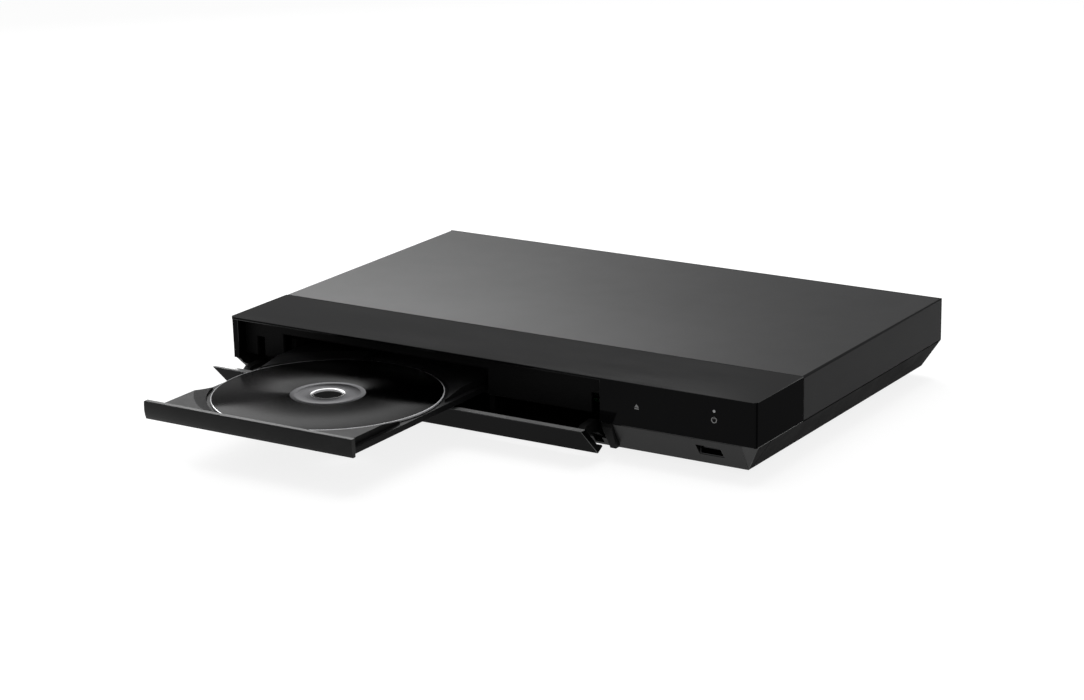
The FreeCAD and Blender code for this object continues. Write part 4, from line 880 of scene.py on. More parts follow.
def screw_tree():
    """A low domed head with a cross recess at every point of the given mesh."""
    graph = new_tree("Cross recess screws", [
        ("Head radius", "Float", 3.0 * MM),
        ("Head height", "Float", 1.6 * MM),
        ("Shank radius", "Float", 1.5 * MM),
        ("Shank length", "Float", 5.0 * MM),
        ("Recess width", "Float", 0.7 * MM),
        ("Turn", "Rotation", None),
        ("Seed", "Int", 7),
        ("Material", "Material", None),
    ])
    given = graph.given
    head = graph.add(
        "GeometryNodeMeshCylinder",
        {
            "Vertices": 28, "Side Segments": 1, "Fill Segments": 3, "Radius": given["Head radius"],
            "Depth": given["Head height"],
        },
    )
    spot = graph.add("GeometryNodeInputPosition")
    away = graph.length(graph.vector("MULTIPLY", spot.outputs[0], (1.0, 1.0, 0.0)))
    part = graph.sum("DIVIDE", away, given["Head radius"])
    cubed = graph.times(graph.times(part, part), part)
    sink = graph.times(cubed, graph.times(given["Head height"], -0.45))
    height = graph.part(spot.outputs[0], "Z")
    is_top = graph.add(
        "FunctionNodeCompare", {0: height, 1: 0.0}, data_type="FLOAT", operation="GREATER_THAN",
    )
    offset = graph.point(Z=sink)
    domed = graph.add(
        "GeometryNodeSetPosition",
        {"Geometry": head.outputs["Mesh"], "Selection": is_top.outputs[0], "Offset": offset},
    )
    half_up = graph.point(Z=graph.times(given["Head height"], 0.5))
    raised = graph.add("GeometryNodeTransform", {"Geometry": domed.outputs[0], "Translation": half_up})
    reach = graph.times(given["Head radius"], 1.1)
    long_bar = graph.point(X=reach, Y=given["Recess width"], Z=given["Head height"])
    cross_bar = graph.point(X=given["Recess width"], Y=reach, Z=given["Head height"])
    bars = []
    for bar in (long_bar, cross_bar):
        cube = graph.add("GeometryNodeMeshCube", {"Size": bar})
        lift = graph.point(Z=graph.times(given["Head height"], 0.95))
        bars.append(
            graph.add("GeometryNodeTransform", {"Geometry": cube.outputs["Mesh"], "Translation": lift})
        )
    cutter = graph.add("GeometryNodeMeshBoolean", operation="UNION", solver="EXACT")
    for bar in bars:
        graph.tree.links.new(bar.outputs[0], cutter.inputs["Mesh 2"])
    recessed = graph.add(
        "GeometryNodeMeshBoolean", {"Mesh 1": raised.outputs[0]}, operation="DIFFERENCE", solver="EXACT",
    )
    graph.tree.links.new(cutter.outputs["Mesh"], recessed.inputs["Mesh 2"])
    shank = graph.add(
        "GeometryNodeMeshCylinder",
        {"Vertices": 16, "Radius": given["Shank radius"], "Depth": given["Shank length"]},
    )
    down = graph.point(Z=graph.times(given["Shank length"], -0.5))
    lowered = graph.add("GeometryNodeTransform", {"Geometry": shank.outputs["Mesh"], "Translation": down})
    whole = graph.add("GeometryNodeJoinGeometry")
    graph.tree.links.new(recessed.outputs["Mesh"], whole.inputs[0])
    graph.tree.links.new(lowered.outputs[0], whole.inputs[0])
    points = graph.add("GeometryNodeMeshToPoints", {"Mesh": given["Geometry"]})
    stood = graph.add(
        "GeometryNodeInstanceOnPoints",
        {"Points": points.outputs[0], "Instance": whole.outputs[0], "Rotation": given["Turn"]},
    )
    chance = graph.add("FunctionNodeRandomValue", {"Seed": given["Seed"]}, data_type="FLOAT")
    angle = graph.point(Z=graph.times(chance.outputs[1], math.pi))
    spun = graph.add(
        "GeometryNodeRotateInstances",
        {"Instances": stood.outputs[0], "Rotation": angle, "Local Space": True},
    )
    return end_tree(graph, spun.outputs[0])


def contact_tree():
    """A row of equal flat contacts, as in a socket."""
    graph = new_tree("Contact row", [
        ("Count", "Int", 4),
        ("Pitch", "Float", 2.0 * MM),
        ("Contact size", "Vector", (1.0 * MM, 6.0 * MM, 0.2 * MM)),
        ("Material", "Material", None),
    ])
    given = graph.given
    step = graph.point(X=given["Pitch"])
    first = graph.times(graph.times(graph.sum("SUBTRACT", given["Count"], 1.0), given["Pitch"]), -0.5)
    start = graph.point(X=first)
    line = graph.add(
        "GeometryNodeMeshLine", {"Count": given["Count"], "Start Location": start, "Offset": step},
        mode="OFFSET",
    )
    bar = graph.add("GeometryNodeMeshCube", {"Size": given["Contact size"]})
    row = graph.add(
        "GeometryNodeInstanceOnPoints", {"Points": line.outputs[0], "Instance": bar.outputs["Mesh"]},
    )
    return end_tree(graph, row.outputs[0])


def scatter_tree():
    """Small square-set parts spread over the faces of the given mesh with a fixed seed."""
    graph = new_tree("Small board parts", [
        ("Part size", "Vector", (1.6 * MM, 0.8 * MM, 0.5 * MM)),
        ("Round", "Bool", False),
        ("Spacing", "Float", 3.0 * MM),
        ("Density", "Float", 40000.0),
        ("Seed", "Int", 7),
        ("Material", "Material", None),
    ])
    given = graph.given
    spread = graph.add(
        "GeometryNodeDistributePointsOnFaces",
        {
            "Mesh": given["Geometry"], "Distance Min": given["Spacing"], "Density Max": given["Density"],
            "Seed": given["Seed"],
        },
        distribute_method="POISSON",
    )
    cube = graph.add("GeometryNodeMeshCube", {"Size": given["Part size"]})
    parts = graph.add("ShaderNodeSeparateXYZ", {"Vector": given["Part size"]})
    can = graph.add(
        "GeometryNodeMeshCylinder",
        {"Vertices": 16, "Radius": graph.times(parts.outputs["X"], 0.5), "Depth": parts.outputs["Z"]},
    )
    chosen = graph.add(
        "GeometryNodeSwitch",
        {"Switch": given["Round"], "False": cube.outputs["Mesh"], "True": can.outputs["Mesh"]},
        input_type="GEOMETRY",
    )
    lift = graph.point(Z=graph.times(parts.outputs["Z"], 0.5))
    standing = graph.add("GeometryNodeTransform", {"Geometry": chosen.outputs[0], "Translation": lift})
    chance = graph.add("FunctionNodeRandomValue", {4: 0, 5: 1, "Seed": given["Seed"]}, data_type="INT")
    angle = graph.point(Z=graph.times(chance.outputs[2], math.pi / 2))
    row = graph.add(
        "GeometryNodeInstanceOnPoints", {"Points": spread.outputs["Points"], "Instance": standing.outputs[0]},
    )
    spun = graph.add("GeometryNodeRotateInstances", {"Instances": row.outputs[0], "Rotation": angle})
    return end_tree(graph, spun.outputs[0])


def thread_tree():
    """A ridge that winds round an upright core."""
    graph = new_tree("Screw thread", [
        ("Pitch", "Float", 3.0 * MM),
        ("Length", "Float", 70.0 * MM),
        ("Radius", "Float", 1.7 * MM),
        ("Ridge", "Float", 0.4 * MM),
        ("Material", "Material", None),
    ])
    given = graph.given
    turns = graph.sum("DIVIDE", given["Length"], given["Pitch"])
    wound = graph.add(
        "GeometryNodeCurveSpiral",
        {
            "Resolution": 20, "Rotations": turns, "Start Radius": given["Radius"],
            "End Radius": given["Radius"], "Height": given["Length"],
        },
    )
    shape = graph.add("GeometryNodeCurvePrimitiveCircle", {"Resolution": 4, "Radius": given["Ridge"]})
    ridge = graph.add(
        "GeometryNodeCurveToMesh",
        {"Curve": wound.outputs[0], "Profile Curve": shape.outputs[0], "Fill Caps": True},
    )
    return end_tree(graph, ridge.outputs[0])


TREES = {}


def grown(tree_name, carrier, values):
    """Runs a geometry node tree on a carrier mesh and returns the result as a plain mesh."""
    makers = {"screws": screw_tree, "contacts": contact_tree, "parts": scatter_tree, "thread": thread_tree}
    if tree_name not in TREES:
        TREES[tree_name] = makers[tree_name]()
    tree = TREES[tree_name]
    holder = bpy.data.objects.new("holder", carrier)
    bpy.context.scene.collection.objects.link(holder)
    modifier = holder.modifiers.new("Repeat", "NODES")
    modifier.node_group = tree
    for item in tree.interface.items_tree:
        if item.in_out == "INPUT" and item.name in values:
            modifier[item.identifier] = values[item.name]
    graph = bpy.context.evaluated_depsgraph_get()
    mesh = bpy.data.meshes.new_from_object(
        holder.evaluated_get(graph), preserve_all_data_layers=True, depsgraph=graph,
    )
    holder.modifiers.remove(modifier)
    bpy.data.objects.remove(holder, do_unlink=True)
    if not mesh.polygons:
        raise RuntimeError("the tree " + tree_name + " made nothing")
    return mesh


def point_mesh(spots):
    mesh = bpy.data.meshes.new("spots")
    mesh.from_pydata([tuple(spot) for spot in spots], [], [])
    return mesh


def moved(mesh, offset):
    mesh.transform(Matrix.Translation(offset))
    return mesh


# Pieces


class PLAYER_OT_stage(bpy.types.Operator):
    """Lays the pale floor, hangs the softboxes and sets the camera"""

    bl_idname = "player.stage"
    bl_label = "Stage"

    def execute(self, context):
        stage = context.scene.player_stage
        self.floor(context, stage)
        self.lamps(context, stage)
        self.camera(context, stage)
        context.scene.view_settings.view_transform = "Standard"
        return {"FINISHED"}

    def floor(self, context, stage):
        reach = 9.0
        mesh = bpy.data.meshes.new("studio_floor")
        corners = [(-reach, -reach, 0.0), (reach, -reach, 0.0), (reach, reach, 0.0), (-reach, reach, 0.0)]
        mesh.from_pydata(corners, [], [(0, 1, 2, 3)])
        floor = bpy.data.objects.new("studio_floor", mesh)
        context.scene.collection.objects.link(floor)
        material = bpy.data.materials.new("Pale floor")
        material.use_nodes = True
        graph = Graph(material.node_tree)
        material.node_tree.nodes.remove(material.node_tree.nodes["Principled BSDF"])
        tone = stage.floor_tone
        matt = graph.add("ShaderNodeBsdfDiffuse", {"Color": (tone, tone, tone, 1.0)})
        dim = graph.add("ShaderNodeBsdfDiffuse", {"Color": (0.24, 0.24, 0.24, 1.0)})
        glow = graph.add("ShaderNodeEmission", {"Color": (1.0, 1.0, 1.0, 1.0), "Strength": 0.84})
        lifted = graph.add("ShaderNodeAddShader")
        graph.feed(lifted.inputs[0], dim.outputs[0])
        graph.feed(lifted.inputs[1], glow.outputs[0])
        path = graph.add("ShaderNodeLightPath")
        seen = graph.sum("ADD", path.outputs["Is Camera Ray"], path.outputs["Is Glossy Ray"], clamp=True)
        seen = graph.sum("ADD", seen, path.outputs["Is Transmission Ray"], clamp=True)
        either = graph.add("ShaderNodeMixShader")
        graph.feed(either.inputs[0], seen)
        graph.feed(either.inputs[1], matt.outputs[0])
        graph.feed(either.inputs[2], lifted.outputs[0])
        graph.feed(material.node_tree.nodes["Material Output"].inputs["Surface"], either.outputs[0])
        mesh.materials.append(material)
        world = bpy.data.worlds.new("Grey room")
        world.use_nodes = True
        room = world.node_tree.nodes["Background"]
        room.inputs["Color"].default_value = (1.0, 1.0, 1.0, 1.0)
        room.inputs["Strength"].default_value = stage.room_light
        context.scene.world = world

    def lamp(self, context, name, spot, aim, size, power, soft=None):
        light = bpy.data.lights.new(name, "AREA")
        light.shape = "RECTANGLE"
        light.size = size[0]
        light.size_y = size[1]
        light.energy = power
        if soft:
            self.fade(light, soft)
        holder = bpy.data.objects.new(name, light)
        holder.visible_camera = False
        holder.location = spot
        holder.rotation_euler = (Vector(aim) - Vector(spot)).to_track_quat("-Z", "Y").to_euler()
        context.scene.collection.objects.link(holder)

    def fade(self, light, soft):
        """The softbox loses light towards its edges, as a lamp behind one cloth does."""
        light.use_nodes = True
        graph = Graph(light.node_tree)
        across = graph.add(
            "ShaderNodeSeparateXYZ", {"Vector": graph.add("ShaderNodeNewGeometry").outputs["Parametric"]},
        )
        edge = graph.add("ShaderNodeMapRange", interpolation_type="SMOOTHSTEP")
        for socket, value in zip(edge.inputs[:5], (across.outputs["X"], soft[0], soft[1], soft[2], soft[3])):
            graph.feed(socket, value)
        graph.feed(light.node_tree.nodes["Emission"].inputs["Strength"], edge.outputs[0])

    def lamps(self, context, stage):
        self.lamp(
            context, "rear_softbox", (-0.62, 0.58, 0.62), (-0.04, 0.05, 0.04), (1.0, 0.5), stage.key_power,
            (0.0, 0.6, 0.0, 1.0),
        )
        self.lamp(context, "top_softbox", (0.10, -0.20, 1.70), (0.0, -0.02, 0.0), (1.2, 1.0), stage.top_power)
        self.lamp(context, "front_fill", (1.60, -1.80, 1.20), (0.0, 0.0, 0.0), (1.2, 1.2), stage.front_power)

    def camera(self, context, stage):
        data = bpy.data.cameras.new("view")
        data.sensor_width = 36.0
        data.sensor_fit = "HORIZONTAL"
        data.lens = stage.lens
        data.clip_start = 0.01
        data.clip_end = 50.0
        camera = bpy.data.objects.new("view", data)
        ca, sa = math.cos(stage.azimuth), math.sin(stage.azimuth)
        ce, se = math.cos(stage.elevation), math.sin(stage.elevation)
        right = Vector((ca, sa, 0.0))
        ahead = Vector((-sa * ce, ca * ce, -se))
        up = right.cross(ahead)
        cr, sr = math.cos(stage.roll), math.sin(stage.roll)
        across = right * cr + up * sr
        upright = up * cr - right * sr
        turn = Matrix((across, upright, -ahead)).transposed()
        camera.matrix_world = Matrix.Translation(stage.camera_spot) @ turn.to_4x4()
        context.scene.collection.objects.link(camera)
        context.scene.camera = camera


class PLAYER_OT_housing(bpy.types.Operator):
    """Makes the housing's mouldings and folded sheets with eased edges"""

    bl_idname = "player.housing"
    bl_label = "Housing"

    def execute(self, context):
        width = context.scene.player_housing.edge_round
        mesh = eased("front_fascia", width, curve=12.0, zone=self.rims)
        keep_piece(
            "front_moulding", mesh, "housing", ["gloss_black", "gloss_edge", "gloss_under"],
            ["front_fascia"],
        )
        mesh = eased("top_cover", width, curve=12.0, zone=self.sides)
        keep_piece(
            "steel_cover", mesh, "housing", ["cover_steel", "cover_side"], ["top_cover"],
        )
        for piece, node in (
            ("lower_front_moulding", "lower_front_strip"),
            ("slot_panel", "inner_panel"),
            ("base_tub", "bottom_chassis"),
            ("rear_plate", "rear_panel"),
        ):
            slot = node_slot(node)
            if node == "lower_front_strip":
                mesh = eased(node, width, curve=12.0, zone=self.strip_end)
                looks = [slot, "black_plastic", "base_plastic", "satin_facet"]
                keep_piece(piece, mesh, node_body(node), looks, [node])
                continue
            look = "base_plastic" if node == "bottom_chassis" else slot
            keep_piece(piece, eased(node, width, curve=12.0), node_body(node), [look], [node])
        self.feet(context)
        return {"FINISHED"}

    def rims(self, face, rounded):
        """The eased rims of the polished front get a lighter copy of its plastic as a painted highlight, and
        its ends a less reflective copy as painted shade.
        """
        if rounded:
            return 1
        return 2 if abs(face.normal.x) > 0.7 else 0

    def sides(self, face, rounded):
        """The cover's folded sides stand upright over the floor and get the less reflective copy of the paint
        as painted shade.
        """
        return 1 if abs(face.normal.x) > 0.7 else 0

    def strip_end(self, face, rounded):
        """The corner beside the flap is bare black moulding; the side returns follow the base; the slanted
        corner facet gets a lighter copy of the satin plastic as a painted highlight.
        """
        lean = abs(face.normal.x)
        if face.calc_center_median().x < -150.0 * MM:
            return 1
        if lean > 0.6:
            return 2
        return 3 if lean > 0.1 else 0

    def feet(self, context):
        """Turned feet: a plastic ring with a softer ribbed pad let into it."""
        meshes = []
        for low, high in islands("feet"):
            x = (low.x + high.x) / 2
            y = (low.y + high.y) / 2
            radius = (high.x - low.x) / 2
            tall = high.z
            profile = [
                (0.0, tall), (radius, tall), (radius, 1.2 * MM), (radius - 0.5 * MM, 0.5 * MM),
                (radius - 1.4 * MM, 0.35 * MM), (radius - 1.7 * MM, 0.8 * MM), (radius - 2.1 * MM, 0.8 * MM),
                (radius - 2.3 * MM, 0.05 * MM),
            ]
            ribs = 4
            inner = radius - 2.3 * MM
            for i in range(ribs):
                spot = inner - (i + 0.5) * inner / (ribs + 0.6)
                profile += [(spot + 0.35 * MM, 0.0), (spot, 0.45 * MM), (spot - 0.35 * MM, 0.0)]
            profile.append((0.0, 0.0))
            zones = [0] * 6 + [1] * (len(profile) - 6)
            meshes.append(turned_solid(profile, (x, y), 48, zones))
        keep_piece("ribbed_feet", joined(meshes), "housing", ["black_plastic", "rubber"], ["feet"])


def turned_solid(profile, centre, steps, zones):
    """A turned shape whose profile starts and ends on the axis."""
    mesh = turned(profile, centre, steps, zones)
    shape = bmesh.new()
    shape.from_mesh(mesh)
    bmesh.ops.remove_doubles(shape, verts=shape.verts, dist=1e-7)
    bmesh.ops.dissolve_degenerate(shape, edges=shape.edges, dist=1e-7)
    bmesh.ops.recalc_face_normals(shape, faces=shape.faces)
    shape.to_mesh(mesh)
    shape.free()
    return smoothed(mesh, 40.0)


class PLAYER_OT_flap(bpy.types.Operator):
    """Makes the drop-down flap and its two arms"""

    bl_idname = "player.flap"
    bl_label = "Flap"

    def execute(self, context):
        width = context.scene.player_housing.edge_round
        mesh = eased("flap", width * 0.8, zone=self.edge_zone)
        keep_piece(
            "drop_flap", mesh, "flap", ["gloss_under", "satin_edge", "flap_lip"], ["flap"],
        )
        for side in ("left", "right"):
            node = "flap_arm_" + side
            keep_piece(
                "hinge_arm_" + side, eased(node, width), "flap", ["black_plastic"], [node],
            )
        return {"FINISHED"}

    def edge_zone(self, face, rounded):
        """The rims of the flap are less polished than its face, and its lip gets a much lighter copy of the
        satin plastic as a painted highlight.
        """
        if face.normal.z > 0.9 and face.calc_center_median().z > 20.0 * MM:
            return 2
        return 1 if rounded or face.normal.z > 0.9 else 0


class PLAYER_OT_tray(bpy.types.Operator):
    """Makes the disc tray and the bar across its front"""

    bl_idname = "player.tray"
    bl_label = "Tray"

    def execute(self, context):
        width = context.scene.player_housing.edge_round
        keep_piece(
            "tray_moulding", eased("disc_tray", width * 0.6), "tray",
            ["dark_grey_plastic"], ["disc_tray"],
        )
        keep_piece(
            "tray_bar", eased("tray_front_bar", width), "tray", ["satin_bar"],
            ["tray_front_bar"],
        )
        return {"FINISHED"}


def disc_centre():
    low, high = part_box("disc")
    return ((low[0] + high[0]) / 2, (low[1] + high[1]) / 2, low[2])


class PLAYER_OT_disc(bpy.types.Operator):
    """Turns the disc: bare rim, black label, silver hub ring and stacking ring"""

    bl_idname = "player.disc"
    bl_label = "Disc"

    def execute(self, context):
        settings = context.scene.player_disc
        low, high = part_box("disc")
        centre = disc_centre()
        rim = (high[0] - low[0]) / 2
        hole = 7.5 * MM
        under = low[2]
        over = high[2]
        ease = 0.22 * MM
        ring = settings.stack_ring
        edge = settings.print_edge
        hub = settings.hub_edge
        skin = 0.05 * MM
        profile = [
            (hole + ease, under), (ring - 0.5 * MM, under), (ring, under + 0.12 * MM),
            (ring + 0.5 * MM, under), (22.0 * MM, under), (59.0 * MM, under), (rim - ease, under),
            (rim, under + ease), (rim, over - ease), (rim - ease, over - skin), (edge, over - skin),
            (edge - 0.1 * MM, over), (hub + 0.1 * MM, over), (hub, over - skin),
            (ring + 0.45 * MM, over - skin), (ring, over - 3 * skin), (ring - 0.45 * MM, over - skin),
            (9.2 * MM, over - skin), (9.0 * MM, over - 2 * skin), (hole + ease, over - 2 * skin),
            (hole, over - ease - skin), (hole, under + ease),
        ]
        zones = [3, 3, 3, 3, 2, 3, 3, 3, 3, 3, 0, 0, 0, 1, 1, 1, 1, 1, 4, 3, 3, 3]
        mesh = turned(profile, centre, settings.steps, zones)
        keep_piece(
            "playing_disc", mesh, "disc",
            ["label_print", "mirror_ring", "read_side", "bare_rim", "hub_lip"], ["disc"],
        )
        return {"FINISHED"}


class PLAYER_OT_marks(bpy.types.Operator):
    """Prints the plain eject and power marks on the front"""

    bl_idname = "player.marks"
    bl_label = "Marks"

    def execute(self, context):
        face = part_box("front_fascia")[0][1]
        eye_low, eye_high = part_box("power_light_guide")
        middle = (eye_low[0] + eye_high[0]) / 2
        level = 32.8 * MM
        outlines = self.eject(93.0 * MM, level) + self.power(middle, level)
        mesh = prism(outlines, "Y", face - 0.03 * MM, face + 0.02 * MM)
        keep_piece("front_marks", mesh, "housing", ["mark_ink"])
        return {"FINISHED"}

    def eject(self, x, z):
        half = 1.25 * MM
        triangle = [(x - half, z - 0.25 * MM), (x + half, z - 0.25 * MM), (x, z + 1.45 * MM)]
        bar = [
            (x - half, z - 1.25 * MM), (x + half, z - 1.25 * MM), (x + half, z - 0.65 * MM),
            (x - half, z - 0.65 * MM),
        ]
        return [triangle, bar]

    def power(self, x, z):
        outer = 1.6 * MM
        inner = 1.15 * MM
        gap = math.radians(26)
        steps = 28
        pieces = []
        for i in range(steps):
            pair = []
            for k in (i, i + 1):
                pair.append(math.pi / 2 + gap + (2 * math.pi - 2 * gap) * k / steps)
            a, b = pair
            pieces.append([
                (x + inner * math.cos(a), z + inner * math.sin(a)),
                (x + outer * math.cos(a), z + outer * math.sin(a)),
                (x + outer * math.cos(b), z + outer * math.sin(b)),
                (x + inner * math.cos(b), z + inner * math.sin(b)),
            ])
        stem = 0.2 * MM
        pieces.append(
            [
                (x - stem, z + 0.5 * MM), (x + stem, z + 0.5 * MM), (x + stem, z + 1.7 * MM),
                (x - stem, z + 1.7 * MM),
            ]
        )
        return pieces


class PLAYER_OT_screws(bpy.types.Operator):
    """Makes every screw with a domed head and a cross recess"""

    bl_idname = "player.screws"
    bl_label = "Screws"

    def execute(self, context):
        details = context.scene.player_details
        upright = (0.0, 0.0, 0.0)
        backward = (-math.pi / 2, 0.0, 0.0)
        for piece, node, radius, tall, shank, turn in (
            ("cross_head_cover_screws", "cover_screws", 3.0, 1.6, 1.5, backward),
            ("cross_head_loader_screws", "loader_screws", 3.2, 1.8, 1.6, upright),
            ("cross_head_board_screws", "board_screws", 2.8, 1.5, 1.5, upright),
        ):
            seats = []
            length = 1.0
            for low, high in islands(node):
                spot = (low + high) / 2
                axis = 1 if turn == backward else 2
                spot[axis] = high[axis] - tall * MM
                length = high[axis] - low[axis] - tall * MM
                seats.append(spot)
            mesh = grown("screws", point_mesh(seats), {
                "Head radius": radius * MM,
                "Head height": tall * MM,
                "Shank radius": shank * MM,
                "Shank length": length,
                "Recess width": details.recess_width,
                "Turn": turn,
                "Seed": details.seed,
                "Material": finish("shaft_steel"),
            })
            keep_piece(piece, smoothed(mesh, 30.0), node_body(node), ["shaft_steel"], [node])
        return {"FINISHED"}


class PLAYER_OT_sockets(bpy.types.Operator):
    """Fits the contacts inside the sockets"""

    bl_idname = "player.sockets"
    bl_label = "Sockets"

    def execute(self, context):
        rows = []
        low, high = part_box("usb_socket")
        middle = (low[0] + high[0]) / 2
        shelf = 14.4 * MM
        rows.append(self.row(4, 2.3, (1.1, 9.0, 0.16), (middle, low[1] + 6.2 * MM, shelf - 0.05 * MM)))
        for x in (36.0 * MM, 58.0 * MM):
            low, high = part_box("hdmi_sockets")
            rows.append(self.row(10, 1.0, (0.4, 5.6, 0.1), (x, high[1] - 5.4 * MM, low[2] + 3.72 * MM)))
            rows.append(self.row(9, 1.0, (0.4, 5.6, 0.1), (x, high[1] - 5.4 * MM, low[2] + 2.88 * MM)))
        low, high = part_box("lan_jack")
        middle = (low[0] + high[0]) / 2
        comb = self.row(8, 1.02, (0.5, 8.0, 0.35), (0.0, 0.0, 0.0))
        comb.transform(Matrix.Rotation(math.radians(24), 4, "X"))
        rows.append(moved(comb, (middle, high[1] - 9.2 * MM, low[2] + 8.0 * MM)))
        keep_piece("socket_contacts", joined(rows), "housing", ["contact_gold"])
        self.coax_pin()
        return {"FINISHED"}

    def row(self, count, pitch, size, spot):
        mesh = grown("contacts", point_mesh([(0.0, 0.0, 0.0)]), {
            "Count": count,
            "Pitch": pitch * MM,
            "Contact size": [value * MM for value in size],
            "Material": finish("contact_gold"),
        })
        return moved(mesh, spot)

    def coax_pin(self):
        """The sleeve about the coaxial jack's plastic core."""
        low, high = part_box("coax_jack")
        x = (low[0] + high[0]) / 2
        z = 17.0 * MM
        reach = high[1]
        profile = [(2.1 * MM, 0.0), (4.1 * MM, 0.0), (4.1 * MM, 0.25 * MM), (2.1 * MM, 0.25 * MM)]
        mesh = turned(profile, (0.0, 0.0), 40)
        mesh.transform(Matrix.Translation((x, reach - 0.3 * MM, z)) @ Matrix.Rotation(-math.pi / 2, 4, "X"))
        keep_piece("coax_sleeve", mesh, "housing", ["socket_steel"])


class PLAYER_OT_boards(bpy.types.Operator):
    """Stands the small parts on the two circuit boards"""

    bl_idname = "player.boards"
    bl_label = "Boards"

    def execute(self, context):
        seed = context.scene.player_details.seed
        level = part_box("main_board")[1][2]
        for piece, zones, size, is_round, gap, slot, look in (
            (
                "board_resistors", [(26, 22, 60, 48), (110, 24, 136, 70), (30, 100, 62, 138)],
                (1.6, 0.8, 0.5), False, 2.6, "chip_black", "chip_black",
            ),
            (
                "board_chips", [(28, 54, 56, 92), (112, 78, 138, 132)], (6.0, 5.0, 1.5), False, 10.0,
                "chip_black", "chip_black",
            ),
            (
                "board_cans", [(70, 98, 98, 136), (-52, 122, -24, 150)], (6.0, 6.0, 7.0), True, 9.5,
                "aluminium", "aluminium",
            ),
        ):
            mesh = grown("parts", self.zones(zones, level), {
                "Part size": [value * MM for value in size],
                "Round": is_round,
                "Spacing": gap * MM,
                "Density": 60000.0,
                "Seed": seed,
                "Material": finish(look),
            })
            keep_piece(piece, smoothed(mesh, 30.0), "housing", [look])
        return {"FINISHED"}

    def zones(self, zones, level):
        """Flat patches of a board, inset so that nothing reaches over their edge."""
        mesh = bpy.data.meshes.new("patches")
        corners = []
        faces = []
        for x0, y0, x1, y1 in zones:
            first = len(corners)
            corners += [
                (x0 * MM, y0 * MM, level), (x1 * MM, y0 * MM, level), (x1 * MM, y1 * MM, level),
                (x0 * MM, y1 * MM, level),
            ]
            faces.append((first, first + 1, first + 2, first + 3))
        mesh.from_pydata(corners, [], faces)
        return mesh


class PLAYER_OT_drive(bpy.types.Operator):
    """Dresses the drive: the threaded lead screw, the loader frame and the traverse"""

    bl_idname = "player.drive"
    bl_label = "Drive"

    def execute(self, context):
        width = 0.2 * MM
        for piece, node in (
            ("loader_moulding", "loader_frame"),
            ("traverse_moulding", "traverse_frame"),
            ("clamp_plate", "clamp_bridge"),
            ("cam_plate", "cam_slider"),
            ("pickup_block", "optical_pickup"),
        ):
            slot = node_slot(node)
            keep_piece(piece, eased(node, width), node_body(node), [slot], [node])
        self.lead_screw()
        return {"FINISHED"}

    def lead_screw(self):
        """The node's own axis is found from its ends, because the traverse stands tilted."""
        source = frame["nodes"]["lead_screw"]
        spots = [source.matrix_world @ v.co for v in source.data.vertices]
        front = min(spots, key=lambda p: p.y)
        rear = max(spots, key=lambda p: p.y)
        x = (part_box("lead_screw")[0][0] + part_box("lead_screw")[1][0]) / 2
        front_end = self.middle(spots, front.y, 0.4 * MM, x)
        rear_end = self.middle(spots, rear.y, 0.4 * MM, x)
        run = (rear_end - front_end)
        length = run.length
        core = turned_solid(
            [
                (0.0, 0.0), (1.72 * MM, 0.0), (1.72 * MM, 72.0 * MM), (1.5 * MM, 72.7 * MM),
                (1.5 * MM, length), (0.0, length),
            ],
            (0.0, 0.0), 28, [0] * 6,
        )
        ridge = grown("thread", point_mesh([(0.0, 0.0, 0.0)]), {
            "Pitch": 3.0 * MM,
            "Length": 70.5 * MM,
            "Radius": 1.62 * MM,
            "Ridge": 0.36 * MM,
            "Material": finish("shaft_steel"),
        })
        moved(ridge, (0.0, 0.0, 0.6 * MM))
        mesh = joined([core, ridge])
        turn = run.normalized().to_track_quat("Z", "Y").to_matrix().to_4x4()
        mesh.transform(Matrix.Translation(front_end) @ turn)
        keep_piece(
            "threaded_lead_screw", smoothed(mesh, 40.0), "lead_screw", ["shaft_steel"],
            ["lead_screw"],
        )

    def middle(self, spots, level, reach, x):
        near = [p for p in spots if abs(p.y - level) < reach]
        low = min(p.z for p in near)
        high = max(p.z for p in near)
        return Vector((x, sum(p.y for p in near) / len(near), (low + high) / 2))


class PLAYER_OT_fittings(bpy.types.Operator):
    """Eases the edges of the smaller mouldings, gears, motors and fittings"""

    bl_idname = "player.fittings"
    bl_label = "Fittings"

    def execute(self, context):
        for node, look, width in FITTINGS:
            slot = node_slot(node)
            mesh = eased(node, width * MM, shortest=4.0 * width * MM, curve=50.0)
            keep_piece(node + "_piece", mesh, node_body(node), [look or slot], [node])
        return {"FINISHED"}


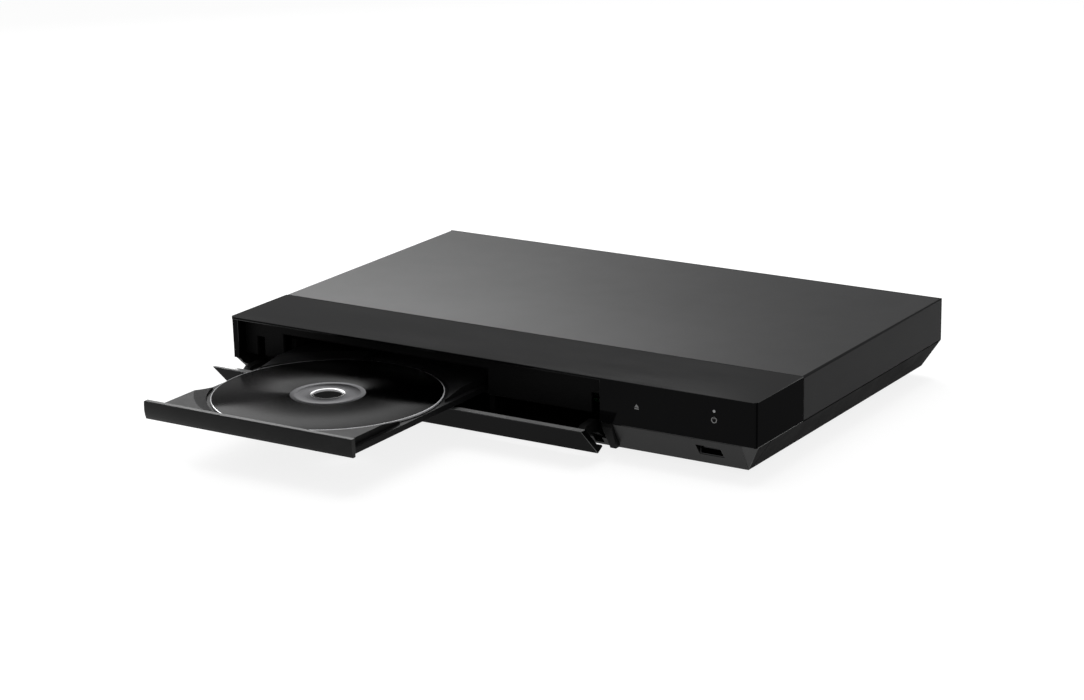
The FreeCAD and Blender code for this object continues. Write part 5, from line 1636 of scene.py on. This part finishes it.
# The node, its finish where it is not that of its slot, and its round in millimetres
FITTINGS = (
    ("clamper", None, 0.15),
    ("turntable", None, 0.12),
    ("spindle_motor", None, 0.15),
    ("pulley_gear", None, 0.08),
    ("drive_gear", None, 0.08),
    ("motor_pulley", None, 0.08),
    ("loading_motor", None, 0.15),
    ("drive_belt", None, 0.08),
    ("guide_rods", None, 0.10),
    ("sled_motor", None, 0.15),
    ("objective_lens", None, 0.06),
    ("heat_sink", None, 0.10),
    ("power_capacitor", "capacitor_sleeve", 0.20),
    ("power_transformer", None, 0.15),
    ("flap_pins", None, 0.08),
)


class PLAYER_OT_finishes(bpy.types.Operator):
    """Gives every remaining node its own finish"""

    bl_idname = "player.finishes"
    bl_label = "Finishes"

    def execute(self, context):
        special = {
            "power_capacitor": "capacitor_sleeve", "drive_ribbon": "ribbon_along_x",
            "usb_socket": "usb_shell",
        }
        for node, holder in frame["nodes"].items():
            slot_name = node_slot(node)
            plain = slot_name if has_finish(slot_name) else "black_plastic"
            made = finish(special.get(node, plain))
            for slot in holder.material_slots:
                slot.material = made
        return {"FINISHED"}


class PLAYER_PT_sidebar(bpy.types.Panel):
    """Lists the steps that dress the player"""

    bl_idname = "PLAYER_PT_sidebar"
    bl_label = "Disc player"
    bl_space_type = "VIEW_3D"
    bl_region_type = "UI"
    bl_category = "Disc player"

    def draw(self, context):
        for step in STEPS:
            self.layout.operator(step.bl_idname)


STEPS = (
    PLAYER_OT_stage,
    PLAYER_OT_finishes,
    PLAYER_OT_housing,
    PLAYER_OT_flap,
    PLAYER_OT_tray,
    PLAYER_OT_disc,
    PLAYER_OT_marks,
    PLAYER_OT_screws,
    PLAYER_OT_sockets,
    PLAYER_OT_boards,
    PLAYER_OT_drive,
    PLAYER_OT_fittings,
)
SETTINGS = {
    "player_stage": StageSettings,
    "player_housing": HousingSettings,
    "player_disc": DiscSettings,
    "player_details": DetailSettings,
}


def register():
    for name, group in SETTINGS.items():
        bpy.utils.register_class(group)
        setattr(bpy.types.Scene, name, PointerProperty(type=group))
    for step in STEPS:
        bpy.utils.register_class(step)
    bpy.utils.register_class(PLAYER_PT_sidebar)


def unregister():
    bpy.utils.unregister_class(PLAYER_PT_sidebar)
    for step in reversed(STEPS):
        bpy.utils.unregister_class(step)
    for name, group in SETTINGS.items():
        delattr(bpy.types.Scene, name)
        bpy.utils.unregister_class(group)


def main():
    register()
    for step in STEPS:
        area, name = step.bl_idname.split(".")
        getattr(getattr(bpy.ops, area), name)()


if __name__ == "__main__":
    main()
